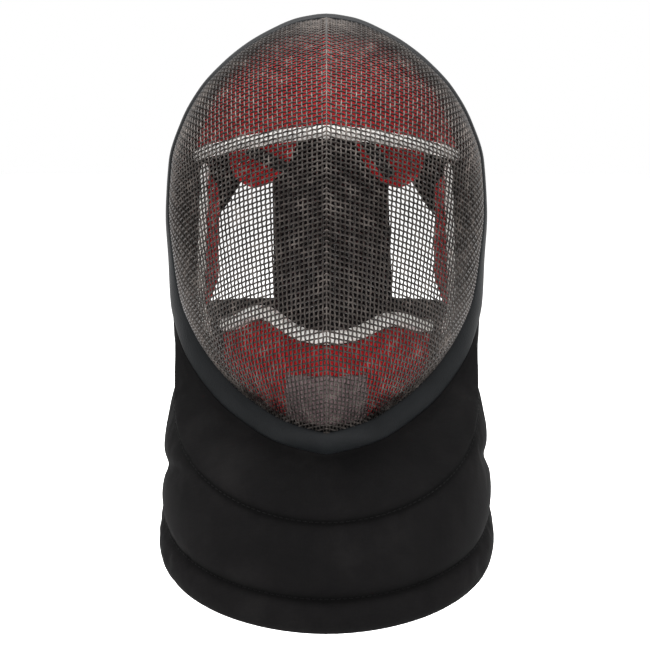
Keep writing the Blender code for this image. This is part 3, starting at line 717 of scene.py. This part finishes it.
def stitcher():
    """A node tree that sets short strands of thread at even distances along each path."""
    tree = bpy.data.node_groups.new("stitches_along_paths", "GeometryNodeTree")
    face = tree.interface
    face.new_socket("Geometry", in_out="INPUT", socket_type="NodeSocketGeometry")
    for name in ("Stitch length", "Spacing", "Thickness"):
        face.new_socket(name, in_out="INPUT", socket_type="NodeSocketFloat")
    face.new_socket("Finish", in_out="INPUT", socket_type="NodeSocketMaterial")
    face.new_socket("Geometry", in_out="OUTPUT", socket_type="NodeSocketGeometry")
    node, link = tree.nodes.new, tree.links.new
    start, end = node("NodeGroupInput"), node("NodeGroupOutput")
    path, spots = node("GeometryNodeMeshToCurve"), node("GeometryNodeCurveToPoints")
    strand, size = node("GeometryNodeMeshIcoSphere"), node("ShaderNodeCombineXYZ")
    put, realize = node("GeometryNodeInstanceOnPoints"), node("GeometryNodeRealizeInstances")
    shade, finish = node("GeometryNodeSetShadeSmooth"), node("GeometryNodeSetMaterial")
    spots.mode = "LENGTH"
    strand.inputs["Radius"].default_value = 0.5
    strand.inputs["Subdivisions"].default_value = 2
    link(start.outputs["Geometry"], path.inputs["Mesh"])
    link(path.outputs["Curve"], spots.inputs["Curve"])
    link(start.outputs["Spacing"], spots.inputs["Length"])
    link(spots.outputs["Points"], put.inputs["Points"])
    link(spots.outputs["Rotation"], put.inputs["Rotation"])
    link(strand.outputs["Mesh"], put.inputs["Instance"])
    link(start.outputs["Thickness"], size.inputs["X"])
    link(start.outputs["Thickness"], size.inputs["Y"])
    link(start.outputs["Stitch length"], size.inputs["Z"])
    link(size.outputs["Vector"], put.inputs["Scale"])
    link(put.outputs["Instances"], realize.inputs["Geometry"])
    link(realize.outputs["Geometry"], shade.inputs["Geometry"])
    link(shade.outputs["Geometry"], finish.inputs["Geometry"])
    link(start.outputs["Finish"], finish.inputs["Material"])
    link(finish.outputs["Geometry"], end.inputs["Geometry"])
    return tree


def sewn_line(name, line, thread, slot):
    """One row of stitches along a line of points."""
    piece = object_of(name, line, [], [(k, k + 1) for k in range(len(line) - 1)])
    worked_out(piece, stitch_tree, stitch_length=STITCH_LENGTH, spacing=STITCH_SPACING,
               thickness=STITCH_THICKNESS, finish=thread)
    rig.slot(piece, slot)
    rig.ride(piece, "root")


stitch_tree = stitcher()
black_thread, shader, *_ = mottled("black_thread", 0.6, 0.0, 2000.0, [
    (0.3, (0.0015, 0.0015, 0.0016)), (0.7, (0.004, 0.004, 0.004)),
], Detail=2.0)
shader.inputs["Specular IOR Level"].default_value = 0.05
for name, row in (("lower_seam_stitches", sewn_rows[1]), ("upper_seam_stitches", sewn_rows[2])):
    sewn_line(name, bib_grid[row] + bib_normal[row] * STITCH_RISE, black_thread, "black_cloth")


# Red lining. Pads of foam under soft brushed red cloth: one inside the forehead and crown, one beside each
# temple, with its outer faces coloured black, and one inside the chin. White tape binds the edges that face the front.
PAD_RIM_SHARE = 0.25
TAPE_EDGE_SHARE = 0.55
LINING_GAP = 0.0010
RIDGE_ROUNDING = 0.010
CROWN_PAD_WALL = 0.010
CROWN_EDGE_WALL = 0.0045
CROWN_PAD_TAPER = 0.014
CROWN_SEAM_GAP = 0.0004
CROWN_PAD_START = 0.512 * MESH_HEIGHT
CROWN_PAD_END = 0.75 * MESH_HEIGHT
CROWN_PAD_TILT = 17.0
CROWN_PAD_REACH = 0.87
CHIN_PAD_WALL = 0.009
CHIN_PAD_INSET = 0.003
CHIN_PAD_WIDTH = 0.1344
CHIN_PAD_TOP = 0.047 * MESH_HEIGHT
CHIN_HUMP_LEFT = 0.012
CHIN_HUMP_RIGHT = 0.008
CHIN_HUMP_SPREAD = 0.0165
CHIN_HUMP_ACROSS = 0.043
CHIN_PAD_MARGIN = -0.0020
CHIN_SEAM_GAP = 0.0006
SIDE_PAD_FRONT = 0.493 * MESH_DEPTH
SIDE_PAD_REAR = 0.749 * MESH_DEPTH
SIDE_PAD_LOW = 0.012 * MESH_HEIGHT
SIDE_FRONT_LEAN = 0.016
SIDE_PAD_RISE = 0.5
SIDE_PAD_TOP_GAP = 0.0021
SIDE_PAD_INSET = 0.0010
SIDE_PAD_LEAST = 0.006
SIDE_PAD_LEAN = 0.16
SIDE_PAD_ROOM = 0.150
SIDE_EDGE_WALL = 0.0035
SIDE_EDGE_SPREAD = 0.8
SIDE_SEAM_GAP = 0.0003
BINDING_WIDTH = 0.0065
CHIN_BINDING_WIDTH = 0.0085
SIDE_BINDING_WIDTH = 0.0045
BINDING_PROUD = 0.0006

red_cloth, shader, add, place, _ = mottled("red_brushed_cloth", 0.92, 0.0, 70.0, [
    (0.28, (0.25, 0.005, 0.007)), (0.52, (0.34, 0.007, 0.010)), (0.78, (0.44, 0.013, 0.015)),
], Detail=6.0, Roughness=0.65)
pile = add("TexNoise", {"Vector": place}, Scale=1400.0, Detail=3.0).outputs["Fac"]
brushed = add("Bump", {"Height": pile}, Strength=0.5, Distance=0.0005)
join(red_cloth, brushed.outputs["Normal"], shader.inputs["Normal"])
shader.inputs["Sheen Weight"].default_value = 0.08
shader.inputs["Specular IOR Level"].default_value = 0.2
shader.inputs["Sheen Tint"].default_value = (0.9, 0.2, 0.2, 1.0)

white_tape, shader, add, place, _ = mottled("white_binding_tape", 0.8, 0.0, 55.0, [
    (0.3, (0.84, 0.81, 0.77)), (0.7, (0.93, 0.92, 0.90)),
], Detail=5.0)
join(white_tape, cloth_weave(add, place, 500.0, 0.0003), shader.inputs["Normal"])


def rim_share(rows, columns, rounding):
    """From nothing at the rim of a grid to one inside it, rising as a rounded edge does."""
    i = np.minimum(np.arange(rows), np.arange(rows)[::-1])[:, None] / rounding
    j = np.minimum(np.arange(columns), np.arange(columns)[::-1])[None, :] / rounding
    near = np.clip(np.minimum(i, j), 0, 1)
    return np.sqrt(1 - (1 - near) ** 2)[..., None]


def between(grid, normal, near, far):
    """The outer and inner grids of a layer that lies from near to far inside a grid."""
    return grid - normal * near, grid - normal * far


def pad(name, outer, inner, replaced, finish, slot, fill=0.7, rounding=3, cap=0.0015, pressure=3.0):
    """A padded piece between an outer and an inner grid, rounded at its rim and swollen a little."""
    middle = (outer + inner) / 2
    share = PAD_RIM_SHARE + (1 - PAD_RIM_SHARE) * rim_share(*outer.shape[:2], rounding)
    piece = walled(name, middle + (outer - middle) * share, middle + (inner - middle) * share)
    rows, columns = outer.shape[:2]
    index = np.arange(rows * columns).reshape(rows, columns)
    rim = np.unique(np.concatenate([index[0], index[-1], index[:, 0], index[:, -1]]))
    swell(piece, np.concatenate([index.ravel(), rim + rows * columns]), cap, pressure, slack=0.03)
    smoother(piece)
    piece.data.materials.append(finish)
    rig.slot(piece, slot)
    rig.padded(piece, fill=fill)
    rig.ride(piece, "root")
    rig.replaces(piece, replaced)
    return piece


def tape(name, outer, inner, replaced, finish, slot, rounding=2):
    """A binding folded over an edge, between two grids, with its two long edges rounded."""
    middle = (outer + inner) / 2
    rows = outer.shape[0]
    near = np.clip(np.minimum(np.arange(rows), np.arange(rows)[::-1]) / rounding, 0, 1)
    share = (TAPE_EDGE_SHARE + (1 - TAPE_EDGE_SHARE) * np.sqrt(1 - (1 - near) ** 2))[:, None, None]
    piece = walled(name, middle + (outer - middle) * share, middle + (inner - middle) * share)
    smoother(piece)
    piece.data.materials.append(finish)
    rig.slot(piece, slot)
    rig.ride(piece, "root")
    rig.replaces(piece, replaced)
    return piece


def liner_row(start_up, tilt, reach, count):
    """A row across the inside of the face, rounded where it crosses the keel."""
    line = row_line(start_up, tilt, 0.0)
    line = line[: np.argmax(line[:, 0]) + 1]
    across = np.linspace(-reach, reach, 2 * count + 1) * line[-1, 0]
    rounded = np.minimum(np.hypot(across, RIDGE_ROUNDING), line[-1, 0])
    back, up = (np.interp(rounded, line[:, 0], line[:, k]) for k in (1, 2))
    return np.stack([across, back, up], axis=1)


near = 2 * WIRE_DIAMETER + LINING_GAP
crown_seam = CROWN_PAD_START + BINDING_WIDTH / 2
edge_starts = CROWN_PAD_START + BINDING_WIDTH * np.linspace(0.5, -0.5, 7)
pad_starts = ridge_levels(crown_seam + CROWN_SEAM_GAP, CROWN_PAD_END, 34)[::-1]
starts = np.concatenate([pad_starts, edge_starts])
grid = np.array([liner_row(start, CROWN_PAD_TILT, CROWN_PAD_REACH, 34)[::-1] for start in starts])
normal = normals_of(grid)
seam = len(pad_starts)
inward = np.clip((starts - crown_seam) / CROWN_PAD_TAPER, 0, 1)
far = near + (CROWN_EDGE_WALL + (CROWN_PAD_WALL - CROWN_EDGE_WALL) * inward)[:, None, None]
outer, inner = between(grid, normal, near, far)
pad("crown_padding", outer[:seam], inner[:seam], "crown_pad", red_cloth, "red_lining")
outer, inner = between(grid, normal, near - BINDING_PROUD, far + BINDING_PROUD)
forehead_tape = tape("forehead_tape", outer[seam:], inner[seam:], "forehead_binding", white_tape,
                     "white_tape")


def side_strip(front, rear, columns, rows, extra):
    """Outer and inner grids of a strip of the right side padding between two set-backs."""
    backs = np.linspace(front, rear, columns)[None, :]
    past = backs - SIDE_PAD_FRONT
    lean = SIDE_FRONT_LEAN * (1 - past / (SIDE_PAD_REAR - SIDE_PAD_FRONT))
    start_up = CROWN_PAD_START - BINDING_WIDTH / 2
    behind_keel = backs + lean - mesh_level("ridge", start_up)
    top = start_up - np.tan(np.radians(CROWN_PAD_TILT)) * behind_keel - SIDE_PAD_TOP_GAP
    low = SIDE_PAD_LOW + SIDE_PAD_RISE * past
    share = np.linspace(0, 1, rows)[:, None]
    ups = low + (top - low) * share
    backs = backs + lean * share
    inset = 2 * WIRE_DIAMETER + LINING_GAP + SIDE_PAD_INSET - extra
    outer = shell_across(backs, ups) - inset / shell_normal(backs, ups)[..., 0]
    room = SIDE_PAD_ROOM / 2 - SIDE_PAD_LEAN * (backs - SIDE_PAD_FRONT)
    inner = np.minimum(room - extra, outer - SIDE_PAD_LEAST)
    outer = np.minimum(outer, inner + SIDE_EDGE_WALL + SIDE_EDGE_SPREAD * np.maximum(past, 0) + 2 * extra)
    return np.stack([outer, backs, ups], axis=2), np.stack([inner, backs, ups], axis=2)


def other_side(grid):
    return grid[:, ::-1] * (-1, 1, 1)


outer, inner = side_strip(SIDE_PAD_FRONT, SIDE_PAD_REAR, 16, 26, 0.0)
temple_pads = [
    pad("temple_padding_right", outer, inner, "side_pad_right", red_cloth, "red_lining"),
    pad("temple_padding_left", other_side(outer), other_side(inner), "side_pad_left", red_cloth,
        "red_lining"),
]
# The faces of each temple pad's outer grid take the black cloth, and all its other faces the red.
walls = 2 * (outer.shape[0] - 1) * (outer.shape[1] - 1)
for piece in temple_pads:
    piece.data.materials.append(black_cloth)
    for face in piece.data.polygons:
        face.material_index = int(face.index < 4 * walls and face.index // 4 % 2 == 0)
tape_front, tape_rear = SIDE_PAD_FRONT - SIDE_BINDING_WIDTH, SIDE_PAD_FRONT - SIDE_SEAM_GAP
outer, inner = side_strip(tape_front, tape_rear, 5, 26, BINDING_PROUD)
temple_tapes = [
    tape("temple_tape_right", outer, inner, "side_binding_right", white_tape, "white_tape"),
    tape("temple_tape_left", other_side(outer), other_side(inner), "side_binding_left", white_tape,
         "white_tape"),
]


def chin_rows(low, high, across, rows):
    """A grid that follows the face between two heights that may change across it."""
    across = np.broadcast_to(across, (rows, len(across)))
    ups = low + (high - low) * np.linspace(0, 1, rows)[:, None] + 0 * across
    ridge = mesh_level("ridge", ups)
    share = np.clip(np.hypot(across, RIDGE_ROUNDING) / mesh_level("half", ups), 0.0, 1.0)
    back = ridge + (mesh_level("side", ups) - ridge) * (1 - (1 - share) ** (1 / SECTION_POWER))
    return np.stack([across, back, ups], axis=2)


across = np.linspace(-CHIN_PAD_WIDTH / 2, CHIN_PAD_WIDTH / 2, 71)
border = border_line()
border = border[border[:, 2] < 0]
low = np.interp(np.abs(across), border[:, 0], border[:, 2]) + CHIN_PAD_MARGIN
humps = np.exp(-(((np.abs(across) - CHIN_HUMP_ACROSS) / CHIN_HUMP_SPREAD) ** 2))
top = CHIN_PAD_TOP + np.where(across < 0, CHIN_HUMP_LEFT, CHIN_HUMP_RIGHT) * humps
chin_seam = top - CHIN_BINDING_WIDTH
lower = chin_rows(low, chin_seam - CHIN_SEAM_GAP, across, 18)
grid = np.concatenate([lower, chin_rows(chin_seam, top, across, 7)])
normal = normals_of(grid)
seam = len(lower)
normal[seam - 1] = normal[seam]
near, far = CHIN_PAD_INSET, CHIN_PAD_INSET + CHIN_PAD_WALL
outer, inner = between(grid, normal, near, far)
pad("chin_padding", outer[:seam], inner[:seam], "chin_pad", red_cloth, "red_lining")
outer, inner = between(grid, normal, near - BINDING_PROUD, far + BINDING_PROUD)
chin_tape = tape("chin_tape", outer[seam:], inner[seam:], "chin_binding", white_tape, "white_tape")
for piece in (forehead_tape, *temple_tapes, chin_tape):
    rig.padded(piece, fill=0.9)


# Chin label. A blank patch of greyish pink cloth, sewn flat on the front of the chin padding and cut
# off below where the padding ends.
LABEL_WIDTH = 0.051
LABEL_TOP = -0.065 * MESH_HEIGHT
LABEL_HEIGHT = 0.034
LABEL_MARGIN = 0.003
LABEL_WALL = 0.0006
LABEL_GAP = 0.0001

label_cloth, shader, add, place, _ = mottled("pale_label_cloth", 0.75, 0.0, 90.0, [
    (0.3, (0.13, 0.080, 0.086)), (0.7, (0.20, 0.130, 0.137)),
], Detail=4.0)
join(label_cloth, cloth_weave(add, place, 700.0, 0.0002), shader.inputs["Normal"])


def cut_size(grid):
    """Width and length of the cloth that a grid of points is made of, laid flat, and its area."""
    wide = max(along(row)[-1] for row in grid)
    high = max(along(column)[-1] for column in grid.transpose(1, 0, 2))
    cells = np.cross(np.diff(grid, axis=1)[:-1], np.diff(grid, axis=0)[:, :-1])
    return {"flat": (wide, high), "area": np.linalg.norm(cells, axis=2).sum()}


across = np.linspace(-LABEL_WIDTH / 2, LABEL_WIDTH / 2, 25)
low = np.interp(np.abs(across), border[:, 0], border[:, 2]) + LABEL_MARGIN
grid = chin_rows(np.maximum(LABEL_TOP - LABEL_HEIGHT, low), LABEL_TOP, across, 17)
normal = normals_of(grid)
far = CHIN_PAD_INSET - LABEL_GAP
outer, inner = between(grid, normal, far - LABEL_WALL, far)
label = tape("blank_label", outer, inner, "chin_label", label_cloth, "label_cloth")
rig.sheet(label, held="laid", rests_on=["chin_padding"], **cut_size(grid))


# Rear of the crown. Black cloth reaches in from the edge band to an arch, two red padded flaps hang in
# front of the spring tongue, and a narrow dark tape is sewn across each flap.
REAR_ARCH_WIDTH = 0.140
REAR_ARCH_FOOT = 0.272 * MESH_HEIGHT
REAR_ARCH_RISE = 0.303 * MESH_HEIGHT
REAR_ARCH_POWER = 2.75
REAR_ARCH_BACK = 1.022 * MESH_DEPTH
REAR_ARCH_SWEEP = 0.0155
REAR_BAND_FOOT = 0.268 * MESH_HEIGHT
REAR_BAND_WALL = 0.002
REAR_BAND_BULGE = 0.001
REAR_BAND_REACH = 0.75
REAR_BAND_GAP = 0.0003
LOBE_WALL = 0.007
LOBE_INNER = 0.019
LOBE_OUTER = 0.062
LOBE_FOOT = 0.339 * MESH_HEIGHT
LOBE_HEAD = 0.614 * MESH_HEIGHT
LOBE_ROUND = 0.020
LOBE_CORNER = 0.985
LOBE_SLANT = 0.013
LOBE_SLANT_END = 0.3
LOBE_SLANT_POWER = 1.3
LOBE_GAP = 0.0006
TAPE_WIDTH = 0.008
TAPE_WALL = 0.001
TAPE_GAP = 0.0003
LOBE_TAPES = {"left": ((-0.050, 0.112), (-0.024, 0.0985)), "right": ((0.024, 0.119), (0.041, 0.094))}
TONGUE_TOP_WIDTH = 0.073
TONGUE_WALL = 0.006
TONGUE_CURVE = 0.006
TONGUE_PATH = np.array([
    (0.978, 0.697), (0.990, 0.591), (1.002, 0.433), (1.010, 0.276),
    (1.000, 0.118), (0.970, -0.039), (0.936, -0.177), (0.919, -0.283),
]) * (MESH_DEPTH, MESH_HEIGHT)


def tongue_back(across, up):
    """Set-back of the tongue's middle surface."""
    path = TONGUE_PATH[::-1]
    middle = smooth(np.asarray(up, float), path[:, 1], path[:, 0])
    return middle - TONGUE_CURVE * (across / TONGUE_TOP_WIDTH * 2) ** 2


line, ways, facing = band_frame(300)
foot = np.argmax(line[:, 2] > REAR_BAND_FOOT)
picked = np.linspace(len(line) - 1, foot, 40).astype(int)
line, ways, facing = line[picked], ways[picked], facing[picked]
outer = line + ways * BAND_WIDTH * REAR_BAND_REACH - facing * (REAR_BAND_WALL / 2 + REAR_BAND_GAP)
turn = np.radians(np.linspace(0, 90, 40))
inner = np.stack([
    REAR_ARCH_WIDTH / 2 * np.sin(turn),
    REAR_ARCH_BACK - REAR_ARCH_SWEEP * np.sin(turn) ** 2,
    REAR_ARCH_FOOT + REAR_ARCH_RISE * np.abs(np.cos(turn)) ** REAR_ARCH_POWER,
], axis=1)
rows = []
for share in np.linspace(0, 1, 14):
    bulge = facing * REAR_BAND_BULGE * np.sin(np.pi * share)
    rows.append(both_sides(inner * (1 - share) + outer * share + bulge))
grid = np.array(rows)
wall = normals_of(grid) * REAR_BAND_WALL / 2
rear_cloth = tape("crown_rear_cloth", grid + wall, grid - wall, "crown_rear_band", black_cloth, "black_cloth")
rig.sheet(rear_cloth, held="stretched", rests_on=["edge_band_trim"], **cut_size(grid))

middle, half = (LOBE_INNER + LOBE_OUTER) / 2, (LOBE_OUTER - LOBE_INNER) / 2
share = np.linspace(-1, 1, 21)
slant_share = np.clip((LOBE_SLANT_END - share) / (LOBE_SLANT_END + 1), 0, 1)
slant = LOBE_SLANT * slant_share**LOBE_SLANT_POWER
lobe_foot = (LOBE_FOOT + slant + LOBE_ROUND * (1 - np.sqrt(1 - (LOBE_CORNER * share) ** 2)))[None, :]
ups = lobe_foot + (LOBE_HEAD - lobe_foot) * np.linspace(0, 1, 26)[:, None]
across = np.broadcast_to((middle + half * share)[None, :], ups.shape)
outer = np.stack([across, tongue_back(across, ups) - TONGUE_WALL / 2 - LOBE_GAP - LOBE_WALL, ups], axis=2)
inner = outer + (0, LOBE_WALL, 0)
pad("crown_flap_right", outer, inner, "crown_lobe_right", red_cloth, "red_lining")
pad("crown_flap_left", other_side(outer), other_side(inner), "crown_lobe_left", red_cloth, "red_lining")

elastic, shader, add = new_material("black_elastic_webbing", 0.75)
place = add("TexCoord").outputs["Object"]
ribs = add("TexWave", {"Vector": place}, Scale=220.0, Distortion=0.4, bands_direction="Z").outputs["Fac"]
rib_colour = colour_ramp(add, ribs, [(0.2, (0.003, 0.003, 0.0035)), (0.8, (0.010, 0.010, 0.011))])
join(elastic, rib_colour, shader.inputs["Base Color"])
shader.inputs["Specular IOR Level"].default_value = 0.12
ribbed = add("Bump", {"Height": ribs}, Strength=0.6, Distance=0.0004)
join(elastic, ribbed.outputs["Normal"], shader.inputs["Normal"])
for side, (start, end) in LOBE_TAPES.items():
    start, end = np.array(start), np.array(end)
    way = (end - start) / np.linalg.norm(end - start)
    rows = []
    for off in np.linspace(-TAPE_WIDTH / 2, TAPE_WIDTH / 2, 5):
        spots = start + (end - start) * np.linspace(0, 1, 12)[:, None] + np.array([-way[1], way[0]]) * off
        back = tongue_back(spots[:, 0], spots[:, 1]) - TONGUE_WALL / 2 - LOBE_GAP - TAPE_GAP - LOBE_WALL
        rows.append(np.stack([spots[:, 0], back, spots[:, 1]], axis=1))
    behind = np.array(rows)
    tape("flap_tape_" + side, behind - (0, TAPE_WALL, 0), behind, "lobe_tape_" + side, elastic,
         "black_elastic")


# Spring tongue. A flat steel spring under a padded cover of dark cloth, fixed inside the crown and bent
# down behind the head, with a round tip.
TONGUE_LOW_WIDTH = 0.078
TONGUE_TIP = 0.030
TONGUE_TIP_SHARE = 0.55
TONGUE_LEAN = 0.0045
TONGUE_ROW_CROWDING = 1.3
STRAP_TOP = 0.063 * MESH_HEIGHT

tongue_cloth, shader, add, place, _ = mottled("dark_tongue_cloth", 0.85, 0.0, 40.0, [
    (0.3, (0.0045, 0.0038, 0.0040)), (0.7, (0.0085, 0.0072, 0.0075)),
], Detail=5.0)
shader.inputs["Specular IOR Level"].default_value = 0.08
join(tongue_cloth, cloth_weave(add, place, 450.0, 0.0003), shader.inputs["Normal"])
bottom, head = TONGUE_PATH[-1, 1], TONGUE_PATH[0, 1]
ups = bottom + (head - bottom) * np.linspace(0, 1, 70) ** TONGUE_ROW_CROWDING
width = np.interp(ups, [bottom, head], [TONGUE_LOW_WIDTH, TONGUE_TOP_WIDTH])
tip = np.clip((ups - bottom) / TONGUE_TIP, 0, 1)
lean = TONGUE_LEAN * np.clip((head - ups) / (head - STRAP_TOP), 0, 1)
width *= TONGUE_TIP_SHARE + (1 - TONGUE_TIP_SHARE) * np.sqrt(1 - (1 - tip) ** 2)
across = np.linspace(-0.5, 0.5, 25)[None, :] * width[:, None] + lean[:, None]
ups = np.broadcast_to(ups[:, None], across.shape)
grid = np.stack([across, tongue_back(across, ups), ups], axis=2)
half_wall = normals_of(grid) * TONGUE_WALL / 2
pad("tongue_cover", grid + half_wall, grid - half_wall, "back_tongue", tongue_cloth, "tongue_cloth",
    fill=0.5, cap=0.001)


# Back strap. Ribbed black elastic webbing, sewn inside the bib on both sides, which goes round behind the
# tongue and pulls it against the head.
STRAP_WIDTH = 0.050
STRAP_WALL = 0.0018
STRAP_GAP = 0.0006
STRAP_END_ACROSS = 0.3955 * MESH_WIDTH
STRAP_END_BACK = 0.739 * MESH_DEPTH

flat = TONGUE_LOW_WIDTH / 2 + STRAP_WALL
straight = np.linspace(0, flat, 12)
turn = np.radians(np.linspace(0, 90, 40)[1:])
rows = []
for up in np.linspace(STRAP_TOP - STRAP_WIDTH, STRAP_TOP, 13):
    behind = tongue_back(straight, up) + (TONGUE_WALL + STRAP_WALL) / 2 + STRAP_GAP
    half_line = np.stack([
        np.concatenate([straight, flat + (STRAP_END_ACROSS - flat) * np.sin(turn)]),
        np.concatenate([behind, STRAP_END_BACK + (behind[-1] - STRAP_END_BACK) * np.cos(turn)]),
    ], axis=1)
    rows.append(both_sides(np.column_stack([half_line, np.full(len(half_line), up)])))
grid = np.array(rows)
half_wall = normals_of(grid) * STRAP_WALL / 2
webbing = tape("back_webbing", grid + half_wall, grid - half_wall, "back_strap", elastic, "black_elastic",
               rounding=1)
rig.sheet(webbing, held="stretched", rests_on=["tongue_cover"], **cut_size(grid))


# Floor, lights and camera. The mask hangs as a head would carry it over a wide pale floor in even white
# light, and the camera looks from straight in front and a little above.
FLOOR_HEIGHT = -0.40
TARGET = Vector((-0.0009, -0.040, -0.1632))
CAMERA_DISTANCE = 1.7
CAMERA_ELEVATION = 5.0
CAMERA_LENS = 154.35

pale_floor, shader, _ = new_material("pale_studio_floor", 0.9)
shader.inputs["Base Color"].default_value = (0.97, 0.97, 0.97, 1.0)
corners = np.array([(x, y, FLOOR_HEIGHT) for x, y in ((-8.0, -8.0), (8.0, -8.0), (8.0, 10.0), (-8.0, 10.0))])
floor = object_of("studio_floor", corners + SEAT, [(0, 1, 2, 3)])
floor.data.materials.append(pale_floor)
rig.stage(floor)

world = bpy.data.worlds.new("studio")
bpy.context.scene.world = world
world.use_nodes = True
surroundings = world.node_tree.nodes["Background"].inputs
surroundings["Color"].default_value = (1.0, 1.0, 1.0, 1.0)
surroundings["Strength"].default_value = 1.0


def aimed(thing, at, target):
    """Puts a light or camera at a place, turned to what it looks at."""
    held = bpy.data.objects.new(thing.name, thing)
    held.location = at
    held.rotation_euler = (target - held.location).to_track_quat("-Z", "Y").to_euler()
    bpy.context.scene.collection.objects.link(held)
    return held


def soft_light(name, at, size, power, target=TARGET):
    light = bpy.data.lights.new(name, "AREA")
    light.shape, light.size, light.energy = "DISK", size, power
    aimed(light, at, target)


soft_light("key", (-0.35, -2.1, 0.40), 0.6, 30.0)
soft_light("fill", (0.9, -1.7, 0.2), 0.8, 8.0)
soft_light("top_light", (0.0, -0.5, 1.7), 0.8, 3.0)
soft_light("floor_flood", (0.0, 0.45, 1.9), 2.4, 170.0, Vector((0.0, 1.9, -0.1)))
bpy.context.scene.view_settings.view_transform = "Standard"

lens = bpy.data.cameras.new("photo_camera")
lens.lens = CAMERA_LENS
lens.sensor_width = 36.0
tilt = np.radians(CAMERA_ELEVATION)
set_back = Vector((0.0, -CAMERA_DISTANCE * np.cos(tilt), CAMERA_DISTANCE * np.sin(tilt)))
bpy.context.scene.camera = aimed(lens, TARGET + set_back, TARGET)

boxes = [[list(corner) for corner in box] for box in (cad_box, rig.bounds())]
json.dump({"cad": boxes[0], "scene": boxes[1]}, open("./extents.json", "w"))
